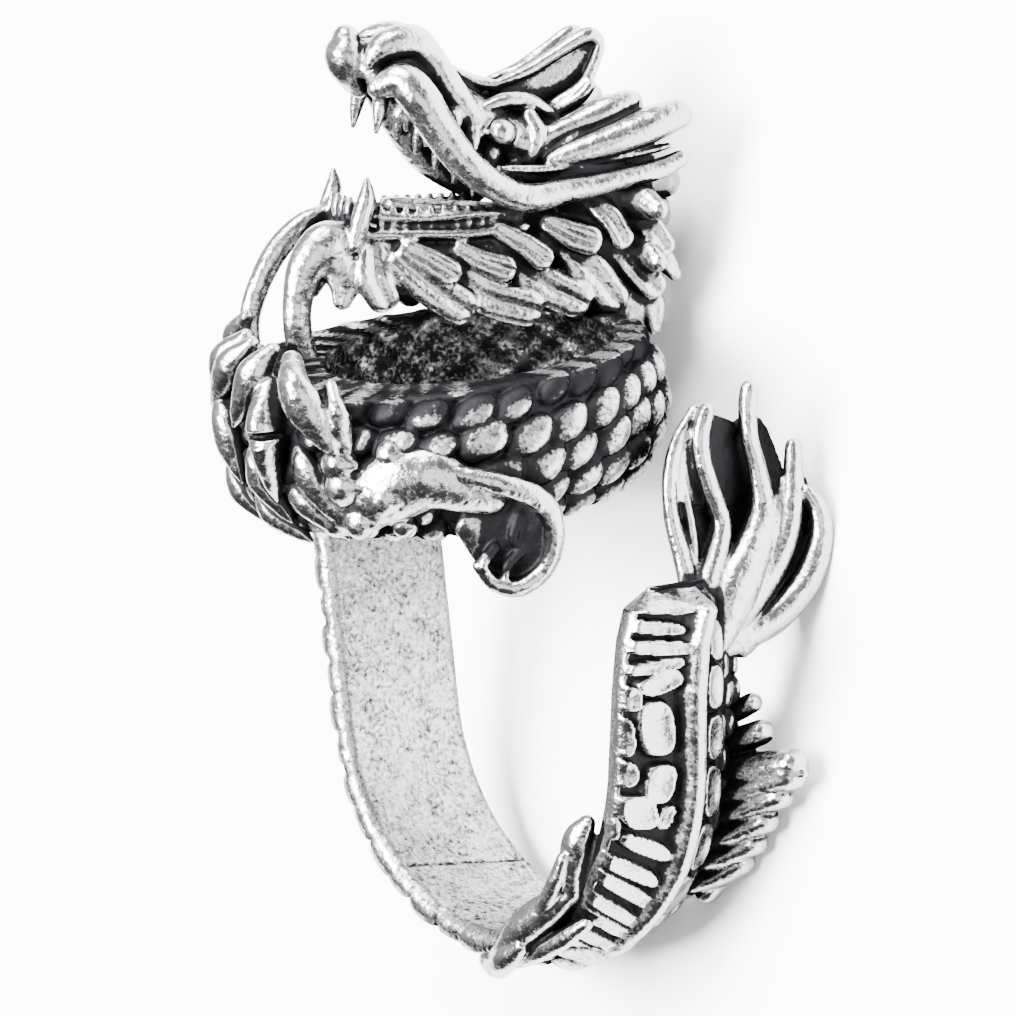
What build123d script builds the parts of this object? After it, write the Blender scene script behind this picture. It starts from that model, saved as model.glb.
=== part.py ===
"""A one-piece cast dragon ring: tail and band, coiled body, leg, neck and open-mouthed head.

Millimetres. Sizes below are measured in the ring's own frame, with its origin at the middle
of the finger bore: x to the right, y up to the head and z along the finger to the front.
The ring lies on its back as modelled, so that frame leans a little against the floor.
"""

from build123d import *
from math import cos, sin, degrees, radians, sqrt
import os

# Driving sizes of the finger band
bore_radius = 8.6
band_width = 6.4
band_edge = 0.8
band_crest = 1.8
left_flare = 9.0
right_flare = 5.0
tail_narrow = 0.42
left_wall_height = 12.9
right_wall_height = 5.7

# Driving sizes of the coiled body
coil_radius = 8.95
coil_bulge = 4.0
coil_height = 5.9
coil_clear = 0.7
coil_lean = 8.3
coil_wall = 1.15
coil_left = 2.4
coil_front = 2.3
hollow_shift = 1.3
scale_rows = 4
scale_count = 30
scale_width = 1.7
scale_height = 1.65
scale_proud = 0.3
scale_tilt = 12.0
shoulder_end = 196.0

# Driving sizes of the head
head_length = 13.0
head_width = 6.6
head_turn = 23.5
head_left = 2.5
head_back = 8.4
jaw_gap = 5.1
whisker_thick = 1.5
horn_thick = 1.3
lock_thick = 1.5
tooth_thick = 0.8
strand_thick = 1.15

# Driving sizes of the leg, the tail's crest and the flame tuft
leg_thick = 2.2
crest_thick = 1.0
tuft_height = 10.0
tuft_thick = 1.5
fin_thick = 1.3

# How the ring leans when it lies on its back
rest_pitch = 12.96
rest_roll = 7.58

coil_bottom = bore_radius + coil_clear
coil_top = coil_bottom + coil_height
coil_middle = 0.57 * coil_height
bulge_centre = coil_radius - coil_bulge
rest = Location((0, 0, 0), (rest_pitch, rest_roll, 0))


def seat(origin, forward, up):
    """A plane given in the ring's frame, carried along as the ring leans at rest."""
    return Plane(rest * Plane(origin, x_dir=forward, z_dir=up).location)


ring = seat((0, 0, 0), (1, 0, 0), (0, 0, 1))


def limb(frame, reach, girth, table):
    """A cast limb: ellipses square to a bent centre line, lofted from end to end.

    Each row of the table is forward, side, up, width and height: places as shares of
    the reach, sizes as shares of the girth.
    """
    centres = [frame.from_local_coords(Vector(row[0], row[1], row[2]) * reach) for row in table]
    last = len(table) - 1
    with BuildPart() as piece:
        for place, row in enumerate(table):
            ahead = centres[min(place + 1, last)] - centres[max(place - 1, 0)]
            with BuildSketch(Plane(centres[place], x_dir=frame.y_dir, z_dir=ahead)):
                Ellipse(row[3] * girth / 2, row[4] * girth / 2)
        loft()
    return piece.part


def pad(frame, width, height, proud, sunk):
    """A low oval scale standing on a surface whose plane is given."""
    with BuildPart() as piece:
        for level, share in ((-sunk, 1.0), (proud, 0.8)):
            with BuildSketch(frame.offset(level)):
                Ellipse(share * width / 2, share * height / 2)
        loft()
    return piece.part


# The finger band: a roof-shaped section turned round the bore, with flared straight walls
def way(angle):
    """Outward direction at an angle round the bore."""
    return Vector(cos(radians(angle)), sin(radians(angle)), 0)


def along(angle):
    """Direction of travel at an angle round the bore."""
    return Vector(-sin(radians(angle)), cos(radians(angle)), 0)


def band_face(plane, back):
    """The band's section, with its back half as wide as the share given."""
    with BuildSketch(plane) as face:
        with BuildLine():
            Polyline(
                (0, -half_width),
                (0, half_width * back),
                (band_edge, half_width * back),
                (band_crest, ridge_half),
                (band_crest, -ridge_half),
                (band_edge, -half_width),
                close=True,
            )
        make_face()
    return face.sketch


left_angle = 180 + left_flare
right_angle = 360 - right_flare
left_foot = way(left_angle) * bore_radius
right_foot = way(right_angle) * bore_radius
right_end = right_foot + along(right_angle) * right_wall_height
half_width = band_width / 2
ridge_half = band_width * 0.08
left_plane = seat(left_foot, way(left_angle), along(left_angle))
left_section = band_face(left_plane, 1)
tail_sections = [
    band_face(seat(right_foot, way(right_angle), along(right_angle)), 1),
    band_face(seat(right_end, way(right_angle), along(right_angle)), tail_narrow),
]
with BuildPart() as band:
    revolve(left_section, axis=Axis(ring.origin, ring.z_dir), revolution_arc=right_angle - left_angle)
    extrude(left_section, amount=-left_wall_height)
    loft(tail_sections, ruled=True)

# The coiled body: a bulging ring round the dragon's own axis with an offset hollow
# Its frame leans forward: across to the right, front along the finger, up the coil's own axis
lean = radians(coil_lean)
coil_up = Vector(0, cos(lean), sin(lean))
coil_ahead = Vector(0, -sin(lean), cos(lean))
coil_heart = Vector(-coil_left, coil_bottom, coil_front)


def coil_seat(across, up, front, forward, rise):
    """A plane given in the coil's frame, whose origin is on its axis at the bottom."""
    place = coil_heart + Vector(across, 0, 0) + coil_up * up + coil_ahead * front
    axes = []
    for side, high, ahead in (forward, rise):
        axes.append(Vector(side, 0, 0) + coil_up * high + coil_ahead * ahead)
    return seat(place, axes[0], axes[1])


coil = coil_seat(0, 0, 0, (1, 0, 0), (0, 0, 1))
hollow = coil_seat(hollow_shift * 0.67, 0, -hollow_shift * 0.74, (1, 0, 0), (0, 0, 1))
hollow_radius = coil_radius - hollow_shift - coil_wall
foot_radius = bulge_centre + sqrt(coil_bulge**2 - coil_middle**2)
rim_radius = bulge_centre + sqrt(coil_bulge**2 - (coil_height - coil_middle) ** 2)
with BuildPart() as body:
    with BuildSketch(coil):
        with BuildLine():
            outside = ThreePointArc(
                (foot_radius, 0), (coil_radius, coil_middle), (rim_radius, coil_height)
            )
            rim = Line(outside @ 1, (hollow_radius * 0.4, coil_height + coil_wall * 0.2))
            axle = Line(rim @ 1, (hollow_radius * 0.4, 0))
            Line(axle @ 1, outside @ 0)
        make_face()
    revolve(axis=Axis(coil.origin, coil.y_dir))
    with BuildSketch(hollow):
        with BuildLine():
            wall = ThreePointArc(
                (foot_radius - hollow_shift - coil_wall, -coil_wall),
                (hollow_radius, coil_middle),
                (rim_radius - hollow_shift - coil_wall, coil_height + coil_wall),
            )
            lid = Line(wall @ 1, (0, coil_height + coil_wall))
            core = Line(lid @ 1, (0, -coil_wall))
            Line(core @ 1, wall @ 0)
        make_face()
    revolve(axis=Axis(hollow.origin, hollow.y_dir), mode=Mode.SUBTRACT)

# Rows of overlapping scales round the coil, each row half a scale on from the last
scales = []
shoulder_starts = [50, 60, 96, 360]
for row in range(scale_rows):
    lift = radians(-38 + row * 76 / (scale_rows - 1))
    for step in range(scale_count):
        turn = radians((step + 0.5 * (row % 2)) * 360 / scale_count)
        if shoulder_starts[row] < degrees(turn) < shoulder_end:
            continue
        reach = bulge_centre + coil_bulge * cos(lift)
        tilt = lift + radians(scale_tilt)
        frame = coil_seat(
            reach * cos(turn),
            coil_middle + coil_bulge * sin(lift),
            reach * sin(turn),
            (-sin(turn), 0, cos(turn)),
            (cos(turn) * cos(tilt), sin(tilt), sin(turn) * cos(tilt)),
        )
        scales.append(pad(frame, scale_width, scale_height, scale_proud, scale_proud))

# The neck column at the back of the coil, rising into the head
coil_frame = coil_seat(0, coil_middle, 0, (1, 0, 0), (0, 1, 0))
neck = limb(
    coil_frame,
    coil_radius,
    head_width,
    [
        (-0.10, 0.98, -0.25, 0.50, 0.42),
        (0.02, 1.04, 0.10, 0.52, 0.40),
        (0.06, 1.08, 0.45, 0.56, 0.42),
        (0.02, 1.10, 0.78, 0.70, 0.52),
        (-0.02, 0.98, 1.02, 0.80, 0.56),
    ],
)

# The head's own frame: forward along the jaws, side to the right cheek, up to the brow
head_y = coil_top + jaw_gap
turn = radians(head_turn)
head = seat((-head_left, head_y, -head_back), (-sin(turn), 0, cos(turn)), (0, 1, 0))
head_parts = [neck]

# Lower jaw with its gum ridges and tongue
head_parts.append(
    limb(
        head,
        head_length,
        head_width,
        [
            (-0.02, 0, -0.02, 0.80, 0.60),
            (0.20, 0, -0.08, 1.02, 0.56),
            (0.50, 0, -0.11, 1.06, 0.40),
            (0.80, 0, -0.11, 0.92, 0.36),
            (0.97, 0, -0.09, 0.80, 0.40),
            (1.04, 0, -0.08, 0.50, 0.30),
        ],
    )
)
head_parts.append(
    limb(
        head,
        head_length,
        head_width,
        [
            (0.15, 0, 0.00, 0.50, 0.20),
            (0.45, 0, -0.01, 0.46, 0.20),
            (0.70, 0, 0.02, 0.40, 0.18),
            (0.86, 0, 0.05, 0.22, 0.12),
        ],
    )
)

# Upper jaw, skull and the nose that hooks over the mouth
head_parts.append(
    limb(
        head,
        head_length,
        head_width,
        [
            (-0.06, 0, 0.06, 0.36, 0.26),
            (0.02, 0, 0.11, 0.74, 0.50),
            (0.15, 0, 0.17, 0.92, 0.56),
            (0.36, 0, 0.21, 0.98, 0.56),
            (0.56, 0, 0.28, 0.84, 0.44),
            (0.74, 0, 0.41, 0.72, 0.36),
            (0.88, 0, 0.50, 0.66, 0.34),
            (0.99, 0, 0.50, 0.44, 0.36),
        ],
    )
)
head_parts.append(
    limb(
        head,
        head_length,
        head_width,
        [
            (0.97, 0, 0.57, 0.16, 0.14),
            (0.98, 0, 0.52, 0.32, 0.26),
            (0.97, 0, 0.45, 0.30, 0.26),
            (0.96, 0, 0.37, 0.16, 0.14),
        ],
    )
)

for side in (1, -1):
    # Nostril lobe
    head_parts.append(
        limb(
            head,
            head_length,
            head_width,
            [
                (0.92, side * 0.12, 0.52, 0.16, 0.14),
                (0.86, side * 0.10, 0.55, 0.34, 0.26),
                (0.76, side * 0.09, 0.52, 0.36, 0.28),
                (0.66, side * 0.08, 0.42, 0.20, 0.16),
            ],
        )
    )
    # Lip tube that runs on as the whisker
    head_parts.append(
        limb(
            head,
            head_length,
            whisker_thick,
            [
                (0.91, side * 0.17, 0.44, 0.70, 0.70),
                (0.87, side * 0.20, 0.40, 1.05, 1.05),
                (0.80, side * 0.22, 0.32, 1.00, 1.05),
                (0.72, side * 0.25, 0.21, 0.95, 1.00),
                (0.63, side * 0.26, 0.11, 0.90, 0.95),
                (0.52, side * 0.26, 0.06, 0.82, 0.86),
                (0.36, side * 0.25, 0.08, 0.74, 0.76),
                (0.14, side * 0.24, 0.13, 0.62, 0.62),
                (-0.05, side * 0.23, 0.17, 0.40, 0.40),
            ],
        )
    )
    # Upper and lower horns, laid back from the brow
    head_parts.append(
        limb(
            head,
            head_length,
            horn_thick,
            [
                (0.50, side * 0.16, 0.24, 0.90, 0.90),
                (0.40, side * 0.18, 0.28, 0.90, 0.80),
                (0.24, side * 0.19, 0.32, 0.95, 0.85),
                (0.10, side * 0.19, 0.37, 0.80, 0.70),
            ],
        )
    )
    head_parts.append(
        limb(
            head,
            head_length,
            horn_thick,
            [
                (0.42, side * 0.20, 0.15, 1.10, 1.10),
                (0.24, side * 0.21, 0.20, 1.15, 1.20),
                (0.06, side * 0.22, 0.26, 1.15, 1.15),
                (-0.08, side * 0.22, 0.31, 0.85, 0.80),
            ],
        )
    )
    # Pointed ear that sweeps up behind the brow
    head_parts.append(
        limb(
            head,
            head_length,
            horn_thick,
            [
                (0.52, side * 0.07, 0.30, 0.90, 1.20),
                (0.42, side * 0.09, 0.38, 0.85, 1.40),
                (0.28, side * 0.10, 0.45, 0.75, 1.20),
                (0.16, side * 0.11, 0.53, 0.55, 0.70),
            ],
        )
    )
    # Brow over a ball of an eye
    head_parts.append(
        limb(
            head,
            head_length,
            horn_thick,
            [
                (0.60, side * 0.10, 0.33, 0.80, 0.50),
                (0.53, side * 0.15, 0.34, 1.00, 0.60),
                (0.44, side * 0.17, 0.33, 0.80, 0.50),
            ],
        )
    )
    with BuildPart(head * Location(Vector(0.52, side * 0.17, 0.26) * head_length)) as eye:
        Sphere(horn_thick * 0.5)
    head_parts.append(eye.part)
    # Fang of the upper jaw and canine of the lower one
    head_parts.append(
        limb(
            head,
            head_length,
            tooth_thick,
            [
                (0.94, side * 0.11, 0.48, 1.30, 1.30),
                (0.96, side * 0.12, 0.34, 0.90, 0.90),
                (0.99, side * 0.12, 0.27, 0.35, 0.35),
            ],
        )
    )
    head_parts.append(
        limb(
            head,
            head_length,
            tooth_thick,
            [
                (0.97, side * 0.17, -0.06, 1.30, 1.30),
                (0.99, side * 0.19, 0.04, 1.10, 1.10),
                (1.00, side * 0.19, 0.12, 0.70, 0.70),
                (0.98, side * 0.19, 0.19, 0.30, 0.30),
            ],
        )
    )
    # Side teeth along both jaws
    for forward, lower, upper in [
        (0.86, 0.01, 0.40),
        (0.76, 0.01, 0.31),
        (0.66, 0.01, 0.24),
    ]:
        head_parts.append(
            limb(
                head,
                head_length,
                tooth_thick,
                [
                    (forward, side * 0.185, lower - 0.08, 1.00, 1.00),
                    (forward, side * 0.190, lower, 0.90, 0.90),
                    (forward, side * 0.190, lower + 0.05, 0.45, 0.45),
                ],
            )
        )
        head_parts.append(
            limb(
                head,
                head_length,
                tooth_thick,
                [
                    (forward - 0.02, side * 0.150, upper + 0.04, 1.00, 1.00),
                    (forward, side * 0.155, upper - 0.04, 0.80, 0.80),
                    (forward, side * 0.155, upper - 0.09, 0.40, 0.40),
                ],
            )
        )
    # Lower row of mane locks, hanging from the jaw and swept back at the tips
    for forward, drop, long in [
        (0.98, -0.10, 0.16),
        (0.90, -0.12, 0.15),
        (0.76, -0.13, 0.18),
        (0.58, -0.12, 0.19),
        (0.40, -0.11, 0.20),
        (0.22, -0.08, 0.21),
        (0.08, -0.03, 0.22),
    ]:
        head_parts.append(
            limb(
                head,
                head_length,
                lock_thick,
                [
                    (forward + 0.04, side * 0.18, drop + 0.02, 0.80, 1.10),
                    (forward, side * 0.23, drop - 0.35 * long, 0.85, 1.20),
                    (forward - 0.06, side * 0.25, drop - 0.75 * long, 0.75, 1.05),
                    (forward - 0.12, side * 0.24, drop - 1.00 * long, 0.45, 0.55),
                ],
            )
        )
    # Upper row of shorter locks, over the roots of the lower ones
    for forward, drop, back in [
        (0.70, -0.04, 0.11),
        (0.52, -0.03, 0.12),
        (0.36, -0.01, 0.13),
        (0.20, 0.03, 0.14),
    ]:
        head_parts.append(
            limb(
                head,
                head_length,
                lock_thick,
                [
                    (forward + 0.05, side * 0.20, drop + 0.02, 0.70, 0.90),
                    (forward - 0.02, side * 0.26, drop - 0.05, 0.70, 0.95),
                    (forward - back, side * 0.29, drop - 0.11, 0.40, 0.50),
                ],
            )
        )

# Front teeth between the two canines
for side in (-0.10, -0.035, 0.035, 0.10):
    head_parts.append(
        limb(
            head,
            head_length,
            tooth_thick,
            [
                (1.00, side, -0.06, 0.90, 0.90),
                (1.02, side, 0.02, 0.80, 0.80),
                (1.02, side, 0.07, 0.40, 0.40),
            ],
        )
    )

# Chin lobe and the two beard strands that drop from it to the coil
head_parts.append(
    limb(
        head,
        head_length,
        strand_thick,
        [
            (1.00, 0.13, -0.03, 1.30, 1.30),
            (1.07, 0.13, -0.07, 1.30, 1.60),
            (1.11, 0.14, -0.16, 1.00, 1.30),
            (1.13, 0.14, -0.28, 0.95, 1.05),
            (1.11, 0.12, -0.40, 0.95, 1.00),
            (1.06, 0.11, -0.53, 1.00, 1.00),
        ],
    )
)
head_parts.append(
    limb(
        head,
        head_length,
        strand_thick,
        [
            (1.00, -0.12, -0.02, 0.80, 1.10),
            (1.10, -0.12, -0.05, 0.75, 1.00),
            (1.19, -0.12, -0.14, 0.70, 0.90),
            (1.25, -0.12, -0.27, 0.70, 0.85),
            (1.26, -0.12, -0.40, 0.75, 0.85),
            (1.22, -0.11, -0.53, 0.80, 0.90),
        ],
    )
)

# Fins on the back of the neck
for up, out in [(0.62, 0.30), (0.95, 0.34), (1.28, 0.30)]:
    head_parts.append(
        limb(
            coil_frame,
            coil_radius,
            lock_thick,
            [
                (0.06, 1.06, 0.75 * up, 0.90, 1.30),
                (0.06 + 0.5 * out, 1.10, 0.75 * up + 0.05, 0.80, 1.10),
                (0.06 + out, 1.08, 0.75 * up + 0.02, 0.50, 0.60),
            ],
        )
    )

# Big petal scales over the coil's left shoulder
coil_parts = []
for turn_degrees, rise, size in [
    (104, 0.02, 1.00),
    (124, 0.02, 1.05),
    (144, 0.02, 1.05),
    (164, 0.02, 1.00),
    (184, 0.02, 0.90),
    (112, 0.24, 0.85),
    (133, 0.26, 0.90),
    (154, 0.26, 0.90),
    (175, 0.24, 0.85),
]:
    turn = radians(turn_degrees)
    reach = coil_radius * (0.98 - 0.35 * rise)
    petal = coil_seat(
        reach * cos(turn),
        coil_middle + coil_radius * rise,
        reach * sin(turn),
        (cos(turn), 0, sin(turn)),
        (0, 1, 0),
    )
    coil_parts.append(
        limb(
            petal,
            coil_height,
            coil_height * size,
            [
                (-0.14, 0, 0.24, 0.20, 0.16),
                (-0.01, 0, 0.12, 0.38, 0.26),
                (0.04, 0, -0.10, 0.40, 0.26),
                (0.00, 0, -0.30, 0.24, 0.18),
                (-0.08, 0, -0.42, 0.10, 0.10),
            ],
        )
    )

# Leg: hip scales, the smooth shin along the coil and the paw that hooks down
leg = coil_seat(0, coil_middle, 0, (1, 0, 0), (0, 0, 1))
coil_parts.append(
    limb(
        leg,
        coil_radius,
        leg_thick,
        [
            (0.14, -0.20, 0.84, 0.90, 1.10),
            (0.34, -0.10, 0.88, 1.50, 1.50),
            (0.58, -0.16, 0.78, 1.45, 1.30),
            (0.80, -0.22, 0.60, 1.15, 1.00),
            (0.97, -0.25, 0.44, 0.90, 0.85),
        ],
    )
)
for across, up, front, size in [
    (0.30, -0.13, 0.97, 0.86),
    (0.36, -0.33, 0.88, 0.78),
    (0.48, -0.03, 0.93, 0.62),
]:
    with BuildPart(leg * Location(Vector(across, up, front) * coil_radius, (90, 0, 0))) as hip:
        Sphere(leg_thick * size / 2)
    coil_parts.append(hip.part)
paw = [
    (0.94, -0.23, 0.48, 0.55),
    (1.02, -0.38, 0.50, 0.50),
    (0.98, -0.53, 0.56, 0.45),
]
for spread in (-0.11, 0.0, 0.11):
    coil_parts.append(
        limb(
            leg,
            coil_radius,
            leg_thick,
            [(across, up, front + spread, size, size) for across, up, front, size in paw],
        )
    )

# Crest rod down the tail and round the band, up into the tuft's stem
with BuildPart() as crest:
    crest_radius = bore_radius + band_crest
    with BuildLine(ring) as crest_path:
        CenterArc((0, 0), crest_radius, 372, -88)
    with BuildSketch(Plane(crest_path.line @ 0, z_dir=crest_path.line % 0)):
        Circle(crest_thick / 2)
    sweep()
tail = [crest.part]

# Raised plates on the front slope of the tail and scales on its back slope
for step in range(8):
    for across, shift, tall, wide in [
        (0.31, 0, 1.35, 1.30),
        (0.15, 5, 1.20, 0.85),
        (-0.18, 0, 1.25, 0.90),
        (-0.33, 5, 1.25, 0.85),
    ]:
        turn = radians(-64 + 10 * step + shift)
        thick = band_crest - (band_crest - band_edge) * abs(across) / 0.5
        reach = bore_radius + thick
        slope = 0.3 if across > 0 else -0.3
        frame = seat(
            (cos(turn) * reach, sin(turn) * reach, across * band_width),
            (-sin(turn), cos(turn), 0),
            (cos(turn), sin(turn), slope),
        )
        tail.append(pad(frame, tall, wide, 0.25, 0.3))

# Low scallops along the rest of the band's outside
for angle in range(196, 296, 11):
    turn = radians(angle)
    for across in (0.30, -0.30):
        thick = band_crest - (band_crest - band_edge) * abs(across) / 0.5
        reach = bore_radius + thick
        slope = 0.3 if across > 0 else -0.3
        frame = seat(
            (cos(turn) * reach, sin(turn) * reach, across * band_width),
            (-sin(turn), cos(turn), 0),
            (cos(turn), sin(turn), slope),
        )
        tail.append(pad(frame, 1.7, 1.9, 0.25, 0.3))

# Flame-shaped fins along the front edge below, and on the back edge of the tail
for angle, size in [(-20, 1.0), (-42, 1.0), (-62, 1.1)]:
    fin = seat((0, 0, 0), way(angle), (0, 0, 1))
    tail.append(
        limb(
            fin,
            bore_radius,
            fin_thick,
            [
                (1.12, -0.40, 0.20, 0.9 * size, 0.9 * size),
                (1.11, -0.22, 0.38, 1.2 * size, 1.0 * size),
                (1.10, -0.06, 0.50, 1.1 * size, 0.9 * size),
                (1.08, 0.07, 0.58, 0.6 * size, 0.5 * size),
            ],
        )
    )
for angle, out, size in [(7, 1.20, 0.8), (-4, 1.32, 1.2), (-15, 1.33, 1.2), (-27, 1.28, 1.0)]:
    fin = seat((0, 0, 0), way(angle), (0, 0, 1))
    tail.append(
        limb(
            fin,
            bore_radius,
            fin_thick,
            [
                (1.06, -0.10, -0.24, 1.1 * size, 1.4 * size),
                (0.5 * (out + 1.10), -0.03, -0.29, 1.1 * size, 1.4 * size),
                (out, 0.04, -0.32, 0.7 * size, 0.9 * size),
            ],
        )
    )

# Flame tuft at the end of the tail: a stem that fans out into curling strands
tuft = seat(right_end, (0, 1, 0), (1, 0, 0))
tuft_strands = [
    [
        (-0.12, 0.08, 0.02, 1.2, 1.2),
        (0.12, 0.09, -0.03, 1.4, 1.1),
        (0.32, -0.01, -0.08, 1.2, 1.0),
        (0.52, -0.09, -0.12, 1.0, 0.9),
        (0.66, -0.08, -0.15, 0.9, 0.8),
        (0.89, -0.19, -0.15, 0.4, 0.4),
    ],
    [
        (-0.12, 0.02, 0.03, 1.2, 1.3),
        (0.14, 0.00, 0.00, 1.4, 1.2),
        (0.34, -0.12, -0.03, 1.2, 1.1),
        (0.56, -0.22, -0.06, 1.1, 0.9),
        (0.76, -0.26, -0.08, 0.9, 0.8),
        (0.95, -0.37, -0.08, 0.4, 0.4),
    ],
    [
        (-0.12, -0.03, 0.04, 1.2, 1.3),
        (0.14, -0.09, 0.03, 1.4, 1.2),
        (0.34, -0.24, 0.02, 1.3, 1.1),
        (0.54, -0.38, 0.01, 1.1, 0.9),
        (0.70, -0.45, 0.00, 0.9, 0.8),
        (0.83, -0.55, 0.01, 0.4, 0.4),
    ],
    [
        (-0.10, -0.06, 0.04, 1.1, 1.3),
        (0.10, -0.17, 0.06, 1.3, 1.2),
        (0.24, -0.36, 0.07, 1.3, 1.1),
        (0.40, -0.52, 0.07, 1.1, 0.9),
        (0.53, -0.60, 0.07, 0.8, 0.7),
        (0.64, -0.66, 0.06, 0.4, 0.4),
    ],
]
tuft_web = [
    (-0.14, 0.07, 0.07, 2.7, 0.95),
    (0.06, 0.03, 0.04, 2.5, 0.80),
    (0.20, -0.06, 0.00, 2.7, 0.55),
    (0.36, -0.20, -0.02, 3.6, 0.45),
    (0.52, -0.30, -0.03, 4.6, 0.4),
    (0.66, -0.32, -0.05, 3.4, 0.35),
]
tuft_parts = [limb(tuft, tuft_height, tuft_thick, tuft_web)]
for strand in tuft_strands:
    tuft_parts.append(limb(tuft, tuft_height, tuft_thick, strand))

# One casting: coil, tuft and head are each run together first, then all join the band
regions = []
for first, others in [
    (body.part, coil_parts),
    (tuft_parts[0], tuft_parts[1:]),
    (head_parts[1], [head_parts[0]] + head_parts[2:]),
]:
    with BuildPart() as region:
        add(first)
        add(others, clean=False)
    regions.append(region.part)
casting = band.part
for others in ([regions[0]], tail, scales, [regions[1]], [regions[2]]):
    with BuildPart() as joined:
        add(casting)
        add(others, clean=False)
    casting = joined.part

# Laid down with the middle of its box over the origin and its lowest point at z 0
box = casting.bounding_box()
with BuildPart() as dragon_ring:
    with Locations((-box.center().X, -box.center().Y, -box.min.Z)):
        add(casting, clean=False)

dragon_ring.part.label = "dragon_ring"
os.makedirs("parts", exist_ok=True)
export_step(dragon_ring.part, "parts/dragon_ring.step")
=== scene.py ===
"""Looks for a cast dragon ring lying on its side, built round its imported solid."""

from math import cos, radians, sin

import bpy
import numpy as np
from mathutils import Matrix


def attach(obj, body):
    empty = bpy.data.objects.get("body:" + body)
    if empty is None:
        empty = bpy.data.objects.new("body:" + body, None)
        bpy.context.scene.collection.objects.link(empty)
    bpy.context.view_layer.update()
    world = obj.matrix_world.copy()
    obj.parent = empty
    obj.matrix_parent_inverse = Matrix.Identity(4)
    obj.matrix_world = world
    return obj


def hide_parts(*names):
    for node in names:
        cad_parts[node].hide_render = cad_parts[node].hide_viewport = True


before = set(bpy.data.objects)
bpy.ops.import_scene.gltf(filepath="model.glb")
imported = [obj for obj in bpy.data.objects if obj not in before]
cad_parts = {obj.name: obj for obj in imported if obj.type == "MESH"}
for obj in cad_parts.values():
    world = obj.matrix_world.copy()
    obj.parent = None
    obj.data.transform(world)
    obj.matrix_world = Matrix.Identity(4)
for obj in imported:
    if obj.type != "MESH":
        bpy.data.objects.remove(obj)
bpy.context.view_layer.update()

# Finger band: the smooth inside and roof-shaped outside that the casting is built on.
# It is cast metal, tumbled inside, with worn scallops on the outside and, on the tail's
# side, carved plates either side of a crest. It is one casting with all that follows.
MM = 0.001
rest_pitch = radians(12.96)
rest_roll = radians(7.58)
bore_place = np.array([0.504, -8.708, 5.547])
bore_radius = 8.6
band_edge = 0.8
band_crest = 1.8
left_flare = radians(9.0)
right_flare = radians(5.0)
left_wall = 10.9
right_wall = 7.6
band_start = -1.8
crest_rise = 0.62
crest_flat = 0.22
crest_half = 0.62
scallop_wide = 2.2
scallop_long = 1.5
small_wide = 0.95
small_long = 1.25
plate_rise = 0.5
groove_sink = 0.2
rim_wide = 0.24
end_slope = 0.8
least_wall = 0.45
seam_travel = 18.12
seam_slant = 0.177
seam_half = 0.08
inner_step = 4

rest_turn = np.array(Matrix.Rotation(rest_pitch, 3, "X") @ Matrix.Rotation(rest_roll, 3, "Y"))


def at_rest(points):
    """Points of the ring's own frame in millimetres, leaned as it lies and put in metres."""
    return (np.asarray(points, float) @ rest_turn.T + bore_place) * MM


def grid_faces(rows, columns, close_rows, close_columns):
    """Four-cornered faces of a grid of rows by columns, joined end to end where told to."""
    last_row = rows if close_rows else rows - 1
    last_column = columns if close_columns else columns - 1
    row, column = np.meshgrid(np.arange(last_row), np.arange(last_column), indexing="ij")
    below = (row + 1) % rows
    beside = (column + 1) % columns
    row_start = row * columns
    next_start = below * columns
    corners = [row_start + column, row_start + beside, next_start + beside, next_start + column]
    return np.stack([corner.ravel() for corner in corners], -1)


def fan(ring, pole):
    """Three-cornered faces from each step along a ring of points to a pole."""
    tip = np.full(len(ring), pole)
    return np.stack([np.roll(ring, -1), ring, tip, tip], -1)


def keep_stain_and_shade(mesh, share):
    """Keeps a share of black stain and painted shade for each point of a mesh."""
    stain_and_shade_layer = mesh.attributes.new("stain_and_shade", "FLOAT", "POINT")
    stain_and_shade_layer.data.foreach_set("value", share.astype(np.float32))


def put_in_mesh(name, points, faces, stain_and_shade=None):
    """A mesh object from an array of points and one of four-cornered faces, three-cornered
    where the last two corners are the same, with a share of stain and painted shade for each point."""
    mesh = bpy.data.meshes.new(name)
    three = faces[:, 2] == faces[:, 3]
    keep = np.ones(faces.shape, bool)
    keep[three, 3] = False
    corners = faces[keep]
    starts = np.concatenate([[0], np.cumsum(np.where(three, 3, 4))[:-1]])
    mesh.vertices.add(len(points))
    mesh.vertices.foreach_set("co", points.ravel())
    mesh.loops.add(len(corners))
    mesh.loops.foreach_set("vertex_index", corners.astype(np.int32))
    mesh.polygons.add(len(faces))
    mesh.polygons.foreach_set("loop_start", starts.astype(np.int32))
    mesh.update(calc_edges=True)
    mesh.validate()
    if stain_and_shade is not None:
        keep_stain_and_shade(mesh, stain_and_shade)
    piece = bpy.data.objects.new(name, mesh)
    bpy.context.scene.collection.objects.link(piece)
    return piece


def ease(value, low, high):
    """Nought below low, one above high and a smooth step between."""
    share = np.clip((value - low) / (high - low), 0, 1)
    return share * share * (3 - 2 * share)


def chance(first, second, seed):
    """A repeatable random share for each pair of whole numbers."""
    mixed = np.sin(first * 127.1 + second * 311.7 + seed * 74.7) * 43758.5453
    return mixed - np.floor(mixed)


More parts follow.
